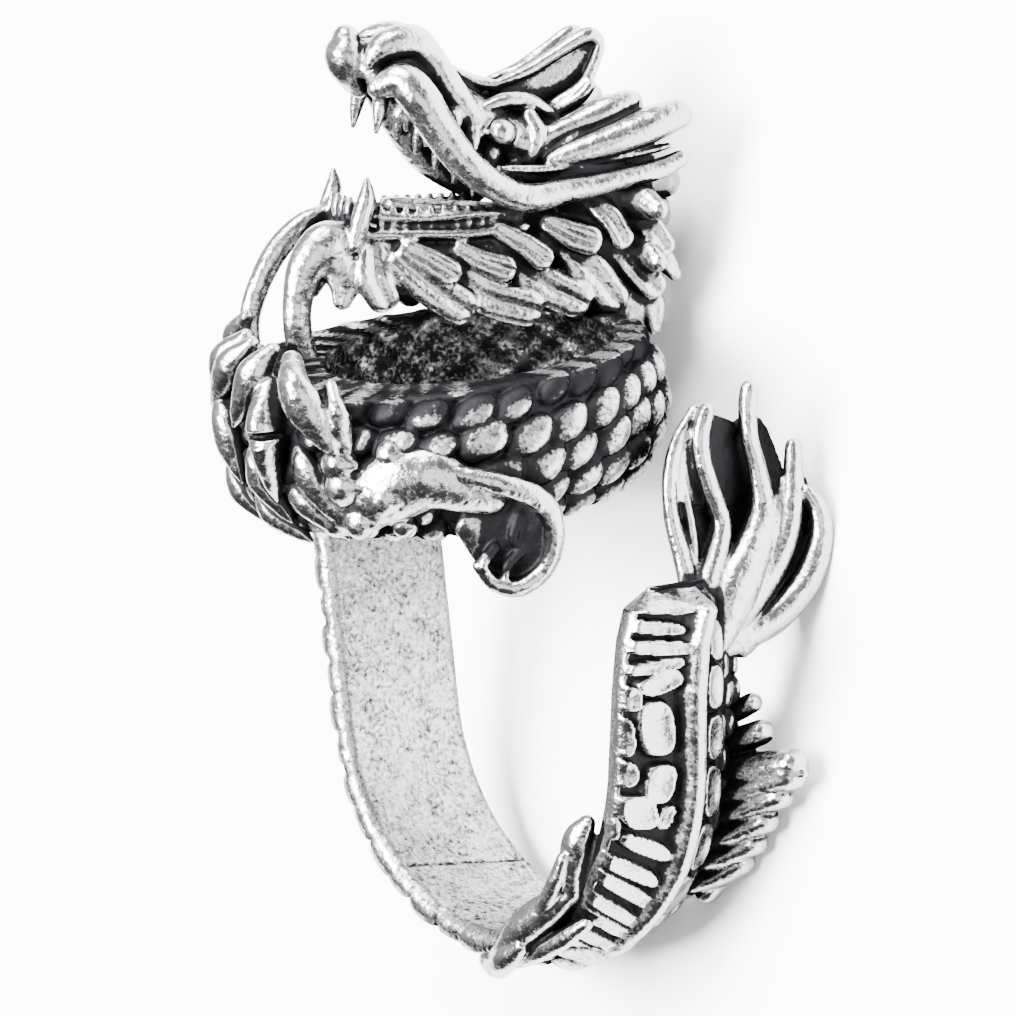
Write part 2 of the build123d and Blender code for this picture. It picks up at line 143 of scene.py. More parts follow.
def domes(across, along, width, length, power, lean, seed):
    """Heights, from nought to one, of overlapping scales in staggered rows.

    Each scale is a superellipse of the given half-width and half-length, in units of a
    column and a row, turned and moved a little by chance. Its height is its dome times a
    rise towards its free end, by the share that lean gives.
    """
    best = np.zeros(np.broadcast(across, along).shape)
    for row_step in (-1, 0, 1):
        row = np.round(along) + row_step
        stagger = 0.5 * (row % 2)
        for column_step in (-1, 0, 1):
            column = np.round(across - stagger) + column_step
            turned = (chance(row, column, seed) - 0.5) * 0.7
            x = across - stagger - column - (chance(row, column, seed + 3) - 0.5) * 0.2
            y = along - row - (chance(row, column, seed + 5) - 0.5) * 0.2
            size = 0.86 + 0.28 * chance(row, column, seed + 7)
            side = (x * np.cos(turned) + y * np.sin(turned)) / (width * size)
            end = (y * np.cos(turned) - x * np.sin(turned)) / (length * size)
            dome = np.clip(1 - np.abs(side) ** power - np.abs(end) ** power, 0, 1) ** 0.45
            best = np.maximum(best, dome * (1 - lean + lean * np.clip(0.5 + 0.5 * side, 0, 1)))
    return best


def plate_relief(travel, place, table, proud):
    """Heights of raised plates laid out one by one on the band's outside.

    A row of the table is the plate's middle, its long half axis and its wide half axis,
    each as travel and place across the band in millimetres. A plate is a superellipse
    with a steep edge and a dished middle.
    """
    squareness = 2.8
    edge_share = 0.45
    dish_depth = 0.35
    best = np.zeros(np.broadcast(travel, place).shape)
    for middle_travel, middle_place, long_travel, long_place, wide_travel, wide_place in table:
        spread = long_travel * wide_place - wide_travel * long_place
        x = travel - middle_travel
        y = place - middle_place
        along = (x * wide_place - y * wide_travel) / spread
        aside = (y * long_travel - x * long_place) / spread
        reach = np.abs(along) ** squareness + np.abs(aside) ** squareness
        dished = 1 - dish_depth * np.exp(-3 * reach)
        best = np.maximum(best, ease(1 - reach, 0, edge_share) * dished * proud)
    return best


arc_length = bore_radius * (np.pi - left_flare - right_flare)
band_rows = 660
travel = np.linspace(band_start, left_wall + arc_length + right_wall, band_rows)
turn = np.pi + left_flare + np.clip(travel - left_wall, 0, arc_length) / bore_radius
before = np.clip(left_wall - travel, 0, None)
after = np.clip(travel - left_wall - arc_length, 0, None)
outward = np.stack([np.cos(turn), np.sin(turn), 0 * turn], -1)
onward = np.stack([-np.sin(turn), np.cos(turn), 0 * turn], -1)
inside_line = outward * bore_radius + onward * (after - before)[:, None]

# Columns: travel, front edge, back edge, crest's place across the band, share of crest
band_stations = np.array([
    (-1.8, 3.2, -3.2, 0.0, 0.0),
    (24.0, 3.2, -3.2, 0.3, 0.0),
    (27.5, 3.3, -3.1, 0.8, 0.3),
    (30.5, 3.9, -2.9, 1.2, 1.0),
    (32.5, 4.1, -2.8, 0.9, 1.0),
    (36.0, 4.1, -2.6, 1.0, 1.0),
    (39.5, 4.2, -2.3, 1.3, 1.0),
    (41.5, 4.1, -1.6, 1.3, 1.0),
    (42.7, 3.8, -1.0, 1.0, 1.0),
    (43.4, 2.5, -0.4, 0.8, 1.0),
])
# Columns: middle, long half axis and wide half axis, each as travel and place across
front_plates = [
    (43.0, 2.95, -0.12, -1.75, -0.36, -0.03),
    (42.15, 3.1, -0.15, -1.4, -0.3, 0.03),
    (41.35, 2.85, -0.1, -1.7, -0.34, -0.03),
    (40.6, 3.0, 0.18, -1.35, -0.3, -0.04),
    (39.95, 2.75, 0.35, -0.95, -0.42, -0.28),
    (39.35, 3.95, 0.55, 0.05, -0.05, -0.5),
    (38.1, 2.8, 1.3, 0.2, -0.05, -0.85),
    (37.8, 4.1, 0.9, 0.1, -0.05, -0.5),
    (36.3, 4.0, 0.6, 0.05, -0.05, -0.66),
    (35.85, 2.45, 0.85, -0.12, -0.05, -0.7),
    (34.8, 3.2, -0.72, -0.3, 0.02, -0.85),
    (34.2, 4.35, 0.6, 0.1, -0.02, -0.55),
    (34.6, 2.05, 0.5, -0.1, 0, -0.35),
    (33.45, 2.55, -0.38, -1.3, 0.38, 0.05),
    (32.5, 2.95, -0.55, -1.65, 0.4, 0.1),
    (31.62, 2.75, -0.8, -2.0, 0.4, 0.1),
    (30.68, 2.95, -0.85, -2.1, 0.4, 0.14),
    (29.75, 2.5, -0.9, -2.4, 0.4, 0.1),
    (28.8, 2.55, -0.85, -2.2, 0.4, 0.06),
    (27.85, 2.2, -0.8, -2.0, 0.4, 0.1),
]
back_plates = [
    (41.3, -0.05, 0.95, 0.2, -0.05, -0.55),
    (39.4, -0.15, 1.05, 0.1, -0.05, -0.62),
    (37.3, -0.35, 1.05, 0.1, 0, -0.65),
    (35.2, -0.45, 1.1, 0.2, 0, -0.68),
    (33.0, -0.6, 1.1, 0.2, 0, -0.7),
    (30.8, -0.6, 1.1, 0.2, 0, -0.7),
]

front_edge, back_edge, crest_place, crest_share = (
    np.interp(travel, band_stations[:, 0], band_stations[:, column])[:, None] for column in (1, 2, 3, 4)
)
band_columns = 84
share_across = np.linspace(0, 1, band_columns)[None, :]
place = back_edge + (front_edge - back_edge) * share_across
down_band = travel[:, None]
slope = np.where(
    place > crest_place,
    (front_edge - place) / (front_edge - crest_place),
    (place - back_edge) / (crest_place - back_edge),
)
roof = band_edge + (band_crest - band_edge) * np.clip(slope, 0, 1) ** 0.85
off_crest = np.abs(place - crest_place)
crest = 1 - ease(off_crest, crest_flat, crest_half)
scallops = domes(place / scallop_wide + 0.3, down_band / scallop_long, 0.5, 0.5, 2.4, 0.3, 5)
small_scales = domes(place / small_wide, down_band / small_long, 0.5, 0.5, 2.4, 0.5, 17)
plates = np.maximum(
    plate_relief(down_band, place, front_plates, 1.0),
    plate_relief(down_band, place, back_plates, 0.9),
)
plates = np.maximum(plates, small_scales * 0.8 * ease(crest_place - place, 1.9, 2.3))
rim = ease(rim_wide - (front_edge - place), 0, 0.2)
tail_relief = np.maximum(plates, rim) * plate_rise - groove_sink
tail_relief = np.where(off_crest < crest_half, np.maximum(crest * crest_rise, tail_relief), tail_relief)
relief = (scallops * 0.42 - 0.12) * (1 - crest_share) + tail_relief * crest_share
end_fade = 1 - 0.7 * ease(after, right_wall - end_slope, right_wall)[:, None] ** 2
outside = (roof + relief) * end_fade
open_edge = np.minimum(share_across, 1 - share_across) * (front_edge - back_edge)
outside = np.maximum(outside, least_wall) * (0.55 + 0.45 * ease(open_edge, 0.0, 0.18))
covered = np.clip(2.2 * np.maximum(plates, rim), 0, 1)
bare = (1 - np.maximum(scallops, 0.35)) * (1 - crest_share) + (1 - np.maximum(covered, crest)) * crest_share

# Inside, the tumbled metal is a little uneven, and a fine line crosses it where it was sized
inner_place = place[:, ::inner_step]
wear = np.sin(down_band * 2.1 + inner_place * 3.3) * np.sin(down_band * 0.9 - inner_place * 1.7)
seam = np.exp(-(((down_band - seam_travel + seam_slant * inner_place) / seam_half) ** 2))
comfort = 0.02 + 0.012 * wear - 0.06 * seam


def band_points(height, places):
    """Points above the inside line by a height, at places across the band."""
    across = np.zeros(height.shape + (3,))
    across[:, :, 2] = places
    return inside_line[:, None, :] + outward[:, None, :] * height[:, :, None] + across


shell = np.concatenate([band_points(outside, place), band_points(-comfort, inner_place)[:, ::-1]], 1)
ring_count = shell.shape[1]
band_faces = grid_faces(band_rows, ring_count, False, True)[:, ::-1]
middle_point = shell.mean(1)[[0, -1]]
first_ring = np.arange(ring_count)
pole = band_rows * ring_count
last_ring = first_ring[::-1] + pole - ring_count
band_faces = np.concatenate([band_faces, fan(first_ring, pole), fan(last_ring, pole + 1)])
# Grooves outside and the sizing line keep black stain; the whole inside also gets painted shade.
band_stain_and_shade = np.concatenate([0.3 * bare, (0.16 + 0.15 * seam)[:, ::-1]], 1).ravel()
band_stain_and_shade = np.append(band_stain_and_shade, [0.3, 0.3])
shell = np.vstack([shell.reshape(-1, 3), middle_point])
finger_band = put_in_mesh("finger_band", at_rest(shell), band_faces, band_stain_and_shade)

# Antique silver: bright where the buff reached and black where it is shut in, with pits,
# patches and lumps of real size. The share of black comes from the recess attribute, painted shade on the
# inner walls included.
bright_silver = (0.33, 0.328, 0.323, 1)
black_silver = (0.01, 0.01, 0.011, 1)
pit_size = 0.2
patch_size = 0.9
lump_size = 0.7
lump_rise = 0.16
black_from = 0.61
black_full = 0.92
silver = bpy.data.materials.new("antique_silver")
silver.use_nodes = True
nodes = silver.node_tree.nodes
links = silver.node_tree.links
shader = nodes["Principled BSDF"]
shader.inputs["Metallic"].default_value = 1.0
where = nodes.new("ShaderNodeTexCoord")
shut_in = nodes.new("ShaderNodeAttribute")
shut_in.attribute_name = "recess"


def grain(size_mm, detail, roughness):
    """Noise whose lumps are about the given size on the metal."""
    noise = nodes.new("ShaderNodeTexNoise")
    noise.inputs["Scale"].default_value = 1 / (size_mm * MM)
    noise.inputs["Detail"].default_value = detail
    noise.inputs["Roughness"].default_value = roughness
    links.new(where.outputs["Object"], noise.inputs["Vector"])
    return noise.outputs["Fac"]


def sum_of(first, second, share):
    """first plus share times second."""
    step = nodes.new("ShaderNodeMath")
    step.operation = "MULTIPLY_ADD"
    links.new(second, step.inputs[0])
    step.inputs[1].default_value = share
    links.new(first, step.inputs[2])
    return step.outputs[0]


def ramp_of(value, low, high, start, end):
    """A smooth step of value from low to high, turned into start to end."""
    step = nodes.new("ShaderNodeMapRange")
    step.interpolation_type = "SMOOTHSTEP"
    links.new(value, step.inputs["Value"])
    step.inputs["From Min"].default_value = low
    step.inputs["From Max"].default_value = high
    step.inputs["To Min"].default_value = start
    step.inputs["To Max"].default_value = end
    return step.outputs["Result"]


pits = grain(pit_size, 3.0, 0.65)
patches = grain(patch_size, 2.0, 0.5)
speckled = sum_of(sum_of(shut_in.outputs["Fac"], pits, 0.8), patches, 0.3)
black = ramp_of(speckled, black_from, black_full, 0.0, 1.0)
tone = nodes.new("ShaderNodeMix")
tone.data_type = "RGBA"
tone.inputs["A"].default_value = bright_silver
tone.inputs["B"].default_value = black_silver
links.new(black, tone.inputs["Factor"])
links.new(ramp_of(black, 0.0, 1.0, 1.0, 0.05), shader.inputs["Specular Tint"])
links.new(tone.outputs["Result"], shader.inputs["Base Color"])
links.new(ramp_of(speckled, 0.5, 0.95, 0.18, 0.56), shader.inputs["Roughness"])
lumps = grain(lump_size, 2.0, 0.5)
bump = nodes.new("ShaderNodeBump")
bump.inputs["Distance"].default_value = lump_rise * MM
bump.inputs["Strength"].default_value = 0.6
links.new(sum_of(lumps, pits, 0.22), bump.inputs["Height"])
links.new(bump.outputs["Normal"], shader.inputs["Normal"])

pieces = []


def cast_on(piece):
    """Gives a piece the silver, and lets it ride on the ring in place of its solid."""
    piece.data.materials.append(silver)
    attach(piece, "root")
    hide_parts("dragon_ring")
    pieces.append(piece)


cast_on(finger_band)

# Coiled body: the dragon's trunk, a bulging ring with an open hollow that stands over the
# finger. It is cast in one with the band; its outside is covered in overlapping scales,
# and the hollow is left rough, with painted shade darkening its inside.
coil_clear = 0.7
coil_radius = 8.95
coil_bulge = 4.0
coil_height = 5.9
coil_wall = 1.15
coil_left = 2.4
coil_front = 2.3
coil_lean = radians(8.3)
hollow_shift = 1.3
scale_rows = 4.8
scale_columns = 31
scale_proud = 0.75
scale_sink = 0.26
scale_shear = 0.35
hollow_swell = 1.5
lump_depth = 0.08

coil_bottom = bore_radius + coil_clear
coil_middle = 0.57 * coil_height
bulge_centre = coil_radius - coil_bulge
coil_axes = np.array([
    [1, 0, 0],
    [0, cos(coil_lean), sin(coil_lean)],
    [0, -sin(coil_lean), cos(coil_lean)],
])
coil_heart = np.array([-coil_left, coil_bottom, coil_front])
hollow_radius = coil_radius - hollow_shift - coil_wall

coil_turns = 700
coil_rows = 84
hollow_rows = 30
turns = np.arange(coil_turns) * 2 * np.pi / coil_turns
lowest = -np.arcsin(coil_middle / coil_bulge)
highest = np.arcsin((coil_height - coil_middle) / coil_bulge)
lift = np.linspace(lowest, highest, coil_rows)
climb = (lift - lowest) * coil_bulge
row_place = climb[None, :] / climb[-1] * scale_rows + 0.5 + 0.25 * np.sin(turns[:, None] * 3)
column_place = turns[:, None] * scale_columns / (2 * np.pi) + scale_shear * row_place
tiles = domes(-column_place, row_place, 0.53, 0.56, 2.4, 0.5, 29)
rim_fade = ease(climb, 0.0, 0.3)[None, :] * ease(climb[-1] - climb, 0.0, 0.3)[None, :]
swell = coil_bulge + (tiles * scale_proud - scale_sink) * rim_fade
outer_reach = bulge_centre + swell * np.cos(lift)[None, :]
outer_rise = coil_middle + swell * np.sin(lift)[None, :]

rise_inside = np.linspace(coil_height, 0, hollow_rows)[None, :]
drift = np.array([hollow_shift * 0.67, -hollow_shift * 0.74])
middle_share = (rise_inside - coil_middle) / coil_middle
hollow = hollow_radius - hollow_swell * np.where(middle_share < 0, middle_share**2, 0.55 * middle_share**2)
toward = np.cos(turns) * drift[0] + np.sin(turns) * drift[1]
aside = np.sqrt((drift**2).sum() - toward**2)
inner_reach = toward[:, None] + np.sqrt(hollow**2 - aside[:, None] ** 2)
rough = np.sin(turns * 17)[:, None] * np.sin(rise_inside * 3.1)
rough = rough + np.sin(turns * 29 + 1)[:, None] * np.sin(rise_inside * 5.3 + 2)
inner_reach = inner_reach - lump_depth * rough
reach = np.concatenate([outer_reach, inner_reach], 1)
rise = np.concatenate([outer_rise, np.broadcast_to(rise_inside, inner_reach.shape)], 1)
coil_local = np.stack([reach * np.cos(turns)[:, None], rise, reach * np.sin(turns)[:, None]], -1)
coil_points = coil_local.reshape(-1, 3) @ coil_axes + coil_heart
coil_faces = grid_faces(coil_turns, reach.shape[1], True, True)
from_rim = climb[-1] - climb
under_rim = ease(from_rim, 0.15, 0.4) * (1 - ease(from_rim, 0.6, 1.1))
between = 0.85 * (1 - np.clip(tiles * 1.12, 0, 1)) + 0.35 * under_rim[None, :]
# Between the scales and under the rim is black stain; the hollow's whole inside gets painted shade.
coil_stain_and_shade = np.concatenate([between * ease(climb, 0.0, 0.3)[None, :], 0.3 + 0.1 * rough], 1)
coiled_body = put_in_mesh("coiled_body", at_rest(coil_points), coil_faces, coil_stain_and_shade.ravel())
cast_on(coiled_body)

# Leg and shoulder: hip scales, a smooth shin that lies along the coil, a paw hooked down
# beside the finger, and big petal scales over the shoulder. It is cast on the coil and
# polished brightest, as it stands out furthest.


def smooth_rows(table, steps):
    """Rows between the rows of a table, on a Catmull-Rom curve through every column."""
    rows = np.array(table, float)
    spans = len(rows) - 1
    place = np.linspace(0, spans, spans * steps + 1)
    start = np.minimum(place.astype(int), spans - 1)
    part = (place - start)[:, None]
    ends = np.vstack([2 * rows[0] - rows[1], rows, 2 * rows[-1] - rows[-2]])
    a, b, c, d = ends[start], ends[start + 1], ends[start + 2], ends[start + 3]
    bend = (2 * a - 5 * b + 4 * c - d) * part**2 + (3 * b - a - 3 * c + d) * part**3
    return 0.5 * (2 * b + (c - a) * part + bend)


def limb(home, reach, girth, table, around=20, steps=5, hollow=0.0, hollow_at=0.5):
    """An ellipse carried along a smooth line through a table's rows, with rounded ends.

    home is an origin and three axes, forward, side and up. A row is forward, side, up,
    width and height: places as shares of the reach, sizes as shares of the girth. A row
    without a height is round. hollow sinks the ellipse by that share along a line at the
    given part of a turn, which makes the lengthwise hollow of a lock of hair. Returns
    points and faces.
    """
    origin, axes = home
    table = np.array(table, float)
    if table.shape[1] == 4:
        table = table[:, [0, 1, 2, 3, 3]]
    rows = smooth_rows(table, steps)
    centres = rows[:, :3] * reach
    halves = np.maximum(rows[:, 3:5] * girth / 2, 0.04)
    ahead = np.gradient(centres, axis=0)
    ahead /= np.linalg.norm(ahead, axis=1)[:, None]
    cap = np.radians([78, 52, 26])
    blunt = halves[[0, -1]].min(1)
    first = centres[0] - ahead[0] * blunt[0] * np.sin(cap)[:, None]
    final = centres[-1] + ahead[-1] * blunt[1] * np.sin(cap[::-1])[:, None]
    centres = np.vstack([first, centres, final])
    ahead = np.vstack([np.repeat(ahead[:1], 3, 0), ahead, np.repeat(ahead[-1:], 3, 0)])
    shrink = np.cos(cap)[:, None]
    halves = np.vstack([halves[0] * shrink, halves, halves[-1] * shrink[::-1]])
    side = np.array([0.0, 1.0, 0.0]) - ahead[:, 1:2] * ahead
    side /= np.linalg.norm(side, axis=1)[:, None] + 1e-9
    up = np.cross(ahead, side)
    angle = np.arange(around) * 2 * np.pi / around
    away = np.angle(np.exp(1j * (angle - 2 * np.pi * hollow_at)))
    round_reach = 1 - hollow * np.exp(-((away / 0.7) ** 2))
    wide = (np.cos(angle) * round_reach)[None, :, None] * halves[:, 0][:, None, None]
    high = (np.sin(angle) * round_reach)[None, :, None] * halves[:, 1][:, None, None]
    points = centres[:, None, :] + side[:, None, :] * wide + up[:, None, :] * high
    poles = np.stack([centres[0] - ahead[0] * blunt[0] * 0.02, centres[-1] + ahead[-1] * blunt[1] * 0.02])
    points = np.vstack([points.reshape(-1, 3), poles])
    pole = len(centres) * around
    ring = np.arange(around)
    faces = [
        grid_faces(len(centres), around, False, True),
        fan(ring, pole),
        fan(ring[::-1] + pole - around, pole + 1),
    ]
    return points @ np.asarray(axes, float) + origin, np.concatenate(faces)


def ball(home, reach, place, size):
    """A sphere as a very short limb, at a place given as shares of the reach."""
    forward, side, up = place
    half = 0.5 * size / reach
    table = []
    for share in (-0.96, -0.75, -0.4, 0.0, 0.4, 0.75, 0.96):
        wide = size * np.sqrt(1 - share**2)
        table.append((forward + share * half, side, up, wide))
    return limb(home, reach, 1.0, table, 20, 2)


def read_out(parts, what, width):
    """One value, of the given width, of each of a mesh's points or faces."""
    values = np.empty(len(parts) * width)
    parts.foreach_get(what, values)
    return values.reshape(-1, width)


def cast(name, shapes, cell, rounds):
    """Shapes run together as cast metal does.

    The closed shapes are joined, a level set of the given cell in millimetres makes one
    skin of them, and a few rounds of smoothing melt the steps of the level set.
    """
    offset = 0
    points = []
    faces = []
    for shape_points, shape_faces in shapes:
        points.append(shape_points)
        faces.append(shape_faces + offset)
        offset += len(shape_points)
    piece = put_in_mesh(name, np.vstack(points), np.vstack(faces))
    melt = piece.modifiers.new("run together", "REMESH")
    melt.mode = "VOXEL"
    melt.voxel_size = cell
    soften = piece.modifiers.new("soften", "SMOOTH")
    soften.factor = 0.5
    soften.iterations = rounds
    skin = bpy.data.meshes.new_from_object(piece.evaluated_get(bpy.context.evaluated_depsgraph_get()))
    skin.vertices.foreach_set("co", at_rest(read_out(skin.vertices, "co", 3)).ravel())
    piece.modifiers.clear()
    piece.data = skin
    return piece


def coil_home(across, up, front, forward, side, rise):
    """An origin and three axes given in the coil's own frame."""
    origin = np.array([across, up, front]) @ coil_axes + coil_heart
    return origin, np.array([forward, side, rise], float) @ coil_axes


leg_thick = 2.2
knob_thick = 0.8 * leg_thick
petal_end = 0.1
leg_cell = 0.082
leg = coil_home(0, coil_middle, 0, (1, 0, 0), (0, 1, 0), (0, 0, 1))
# Columns: across, up and front as shares of the coil, width and depth of the leg's girth
shin = [
    (0.2, -0.22, 0.88, 0.8, 0.6),
    (0.34, -0.17, 0.88, 1.15, 0.8),
    (0.54, -0.09, 0.81, 1.3, 0.85),
    (0.69, -0.06, 0.71, 1.15, 0.78),
    (0.8, -0.12, 0.61, 0.85, 0.6),
    (0.88, -0.18, 0.5, 0.6, 0.45),
]
paw_rim = [
    (0.78, -0.02, 0.68, 0.26, 0.26),
    (0.87, -0.06, 0.6, 0.34, 0.34),
    (0.96, -0.11, 0.51, 0.4, 0.38),
    (1.02, -0.18, 0.4, 0.42, 0.4),
    (1.04, -0.28, 0.33, 0.42, 0.38),
    (1.03, -0.42, 0.33, 0.38, 0.36),
    (0.99, -0.53, 0.37, 0.36, 0.34),
    (0.93, -0.59, 0.46, 0.34, 0.32),
    (0.86, -0.56, 0.54, 0.3, 0.28),
    (0.82, -0.47, 0.59, 0.24, 0.24),
]
paw_palm = [
    (0.76, -0.26, 0.57, 0.8, 0.34),
    (0.83, -0.33, 0.48, 1.5, 0.36),
    (0.9, -0.38, 0.41, 1.9, 0.36),
    (0.97, -0.38, 0.35, 1.6, 0.32),
]
claws = [
    [(0.86, -0.4, 0.52, 0.22), (0.85, -0.46, 0.59, 0.2), (0.86, -0.51, 0.57, 0.12)],
    [(0.94, -0.42, 0.42, 0.2), (0.91, -0.48, 0.5, 0.19), (0.9, -0.54, 0.51, 0.12)],
    [(0.93, -0.27, 0.42, 0.22), (0.92, -0.36, 0.46, 0.2), (0.92, -0.43, 0.43, 0.12)],
]
leg_shapes = []
leg_rows = [(shin, 40, 8), (paw_rim, 24, 8), (paw_palm, 28, 6)] + [(claw, 16, 6) for claw in claws]
for rows, around, steps in leg_rows:
    leg_shapes.append(limb(leg, coil_radius, leg_thick, rows, around, steps))
# Columns: across, up and front of a knob as shares of the coil, and its share of a knob's girth
for across, up, front, size in [
    (0.38, 0.03, 0.93, 0.95),
    (0.39, -0.07, 0.93, 0.95),
    (0.56, -0.13, 0.85, 0.85),
    (0.43, -0.24, 0.89, 0.85),
    (0.57, 0.06, 0.8, 0.75),
    (0.27, -0.26, 0.9, 0.72),
    (0.2, -0.12, 0.95, 0.6),
    (0.57, -0.27, 0.77, 0.6),
]:
    leg_shapes.append(ball(leg, coil_radius, (across, up, front), knob_thick * size))
# Columns: across, up and front of a petal's root, middle and tip, and its width
for petal in [
    (-0.18, 0.51, 0.91, -0.29, 0.4, 0.97, -0.42, 0.25, 0.95, 0.62),
    (0.03, 0.51, 0.96, -0.04, 0.4, 1.03, -0.14, 0.24, 1.05, 0.66),
    (-0.46, 0.3, 0.84, -0.36, 0.14, 0.97, -0.3, -0.04, 0.98, 0.74),
    (0.02, 0.36, 1.0, 0.06, 0.18, 1.08, 0.04, -0.05, 1.05, 0.86),
    (0.17, 0.48, 0.97, 0.28, 0.36, 1.05, 0.38, 0.16, 1.0, 0.8),
    (0.13, 0.12, 0.96, 0.22, 0, 1.0, 0.3, -0.16, 0.97, 0.66),
    (0.37, 0.38, 0.93, 0.43, 0.26, 0.96, 0.44, 0.13, 0.93, 0.46),
    (-0.64, 0.24, 0.66, -0.67, 0.06, 0.72, -0.66, -0.12, 0.7, 0.6),
    (0.02, -0.06, 0.95, 0.14, -0.14, 0.98, 0.27, -0.27, 0.92, 0.58),
    (-0.44, 0.48, 0.74, -0.58, 0.36, 0.78, -0.66, 0.2, 0.76, 0.6),
    (-0.12, 0.1, 0.97, -0.1, -0.04, 1.02, -0.02, -0.2, 0.98, 0.62),
    (-0.8, 0.3, 0.4, -0.87, 0.12, 0.42, -0.86, -0.08, 0.42, 0.62),
    (-0.7, 0.5, 0.52, -0.82, 0.38, 0.52, -0.86, 0.22, 0.5, 0.56),
    (-0.48, -0.02, 0.84, -0.42, -0.16, 0.9, -0.32, -0.28, 0.88, 0.6),
    (-0.22, -0.14, 0.93, -0.14, -0.24, 0.95, -0.02, -0.34, 0.9, 0.56),
]:
    places = np.array(petal[:9]).reshape(3, 3)
    width = petal[9]
    tip = places[2] + 0.45 * (places[2] - places[1])
    rows = [
        (*places[0], 0.45 * width, 0.5 * width),
        (*places[1], width, 0.75 * width),
        (*places[2], 0.62 * width, 0.5 * width),
        (*tip, petal_end, petal_end),
    ]
    leg_shapes.append(limb(leg, coil_radius, leg_thick, rows, 24, 8))
leg_and_shoulder = cast("leg_and_shoulder", leg_shapes, leg_cell, 2)


def places_of(piece, home):
    """A piece's points in millimetres along a home's three axes."""
    origin, axes = home
    points = read_out(piece.data.vertices, "co", 3) / MM
    return ((points - bore_place) @ rest_turn - origin) @ np.asarray(axes, float).T


# The hollow of the paw is left black
palm_heart = coil_radius * np.array([0.91, -0.36, 0.43])
from_palm = np.linalg.norm(places_of(leg_and_shoulder, leg) - palm_heart, axis=1)
keep_stain_and_shade(leg_and_shoulder.data, 0.8 * (1 - ease(from_palm, 1.15, 1.75)))
cast_on(leg_and_shoulder)

# Neck, lower jaw and mane: the neck rises from the back of the coil and carries a long
# lower jaw with its teeth and tongue. Two rows of locks are swept back along the jaw, and
# two beard strands drop from the chin to the coil. All of it is one casting.
head_length = 13.0
head_width = 6.6
head_turn = radians(23.5)
head_left = 2.5
head_back = 8.4
jaw_gap = 5.1
lock_thick = 1.5
tooth_thick = 0.8
strand_thick = 1.15
jaw_cell = 0.102
side_teeth = 12
tooth_pitch = 0.04

neck_home = coil_home(0, coil_middle, 0, (1, 0, 0), (0, 0, -1), (0, 1, 0))
head_y = coil_bottom + coil_height + jaw_gap
head_home = (
    np.array([-head_left, head_y, -head_back]),
    np.array([[-sin(head_turn), 0, cos(head_turn)], [cos(head_turn), 0, sin(head_turn)], [0, 1, 0]]),
)
neck_table = [
    (-0.1, 0.98, -0.25, 0.5, 0.42),
    (0.02, 1.04, 0.1, 0.52, 0.4),
    (0.06, 1.08, 0.45, 0.56, 0.42),
    (0.02, 1.08, 0.78, 0.64, 0.5),
    (0, 0.96, 1.0, 0.6, 0.46),
]
jaw_shapes = [limb(neck_home, coil_radius, head_width, neck_table, 36)]
for up, out in [(0.465, 0.3), (0.7125, 0.34)]:
    jaw_shapes.append(limb(neck_home, coil_radius, lock_thick, [
        (0.06, 1.06, up, 0.9, 1.3),
        (0.06 + 0.5 * out, 1.1, up + 0.05, 0.8, 1.1),
        (0.06 + out, 1.08, up + 0.02, 0.5, 0.6),
    ]))


def on_head(girth, rows, around, steps=8, hollow=0.0, hollow_at=0.5):
    """A limb in the head's own frame, with its places as shares of the head's length."""
    return limb(head_home, head_length, girth, rows, around, steps, hollow, hollow_at)


# The lower jaw with the trough between its sides, and the tongue in it
jaw_shapes.append(on_head(head_width, [
    (0.02, 0, -0.02, 0.5, 0.42),
    (0.2, 0, -0.07, 0.92, 0.52),
    (0.5, 0, -0.1, 0.98, 0.4),
    (0.8, 0, -0.11, 0.84, 0.36),
    (0.97, 0, -0.08, 0.7, 0.36),
    (1.03, 0, -0.07, 0.44, 0.26),
], 48, 8, 0.5, 0.25))
jaw_shapes.append(on_head(head_width, [
    (0.15, 0, 0, 0.44, 0.18),
    (0.45, 0, -0.02, 0.4, 0.18),
    (0.7, 0, 0, 0.34, 0.16),
    (0.86, 0, 0.03, 0.18, 0.1),
], 20, 5))

# Each row of locks: forward, side, up and width of root, middle and tip
upper_locks = [
    (0.87, 0.22, -0.09, 0.45, 0.8, 0.25, -0.13, 0.58, 0.74, 0.27, -0.17, 0.66),
    (0.7, 0.23, -0.1, 0.45, 0.62, 0.26, -0.14, 0.56, 0.56, 0.28, -0.16, 0.64),
    (0.57, 0.24, -0.04, 0.45, 0.49, 0.27, -0.09, 0.56, 0.44, 0.29, -0.13, 0.62),
    (0.41, 0.24, -0.02, 0.5, 0.34, 0.27, -0.06, 0.66, 0.28, 0.29, -0.08, 0.7),
    (0.24, 0.23, 0.03, 0.55, 0.2, 0.26, -0.02, 0.6, 0.17, 0.28, -0.08, 0.58),
    (0.12, 0.21, 0, 0.5, 0.06, 0.24, -0.05, 0.6, 0.02, 0.26, -0.11, 0.56),
]
lower_locks = [
    (1.08, 0.15, -0.14, 0.8, 1.06, 0.17, -0.2, 0.75, 1.07, 0.18, -0.26, 0.45),
    (0.97, 0.18, -0.1, 0.72, 0.97, 0.2, -0.18, 0.9, 0.94, 0.21, -0.25, 0.8),
    (0.89, 0.21, -0.13, 0.64, 0.8, 0.24, -0.21, 0.9, 0.7, 0.26, -0.28, 0.88),
    (0.72, 0.22, -0.17, 0.64, 0.61, 0.25, -0.25, 0.9, 0.48, 0.27, -0.29, 0.88),
    (0.52, 0.23, -0.14, 0.72, 0.42, 0.26, -0.22, 0.92, 0.32, 0.28, -0.27, 0.86),
    (0.36, 0.23, -0.08, 0.72, 0.27, 0.26, -0.18, 0.9, 0.2, 0.28, -0.27, 0.8),
    (0.2, 0.2, -0.06, 0.66, 0.12, 0.22, -0.16, 0.8, 0.05, 0.24, -0.24, 0.7),
]
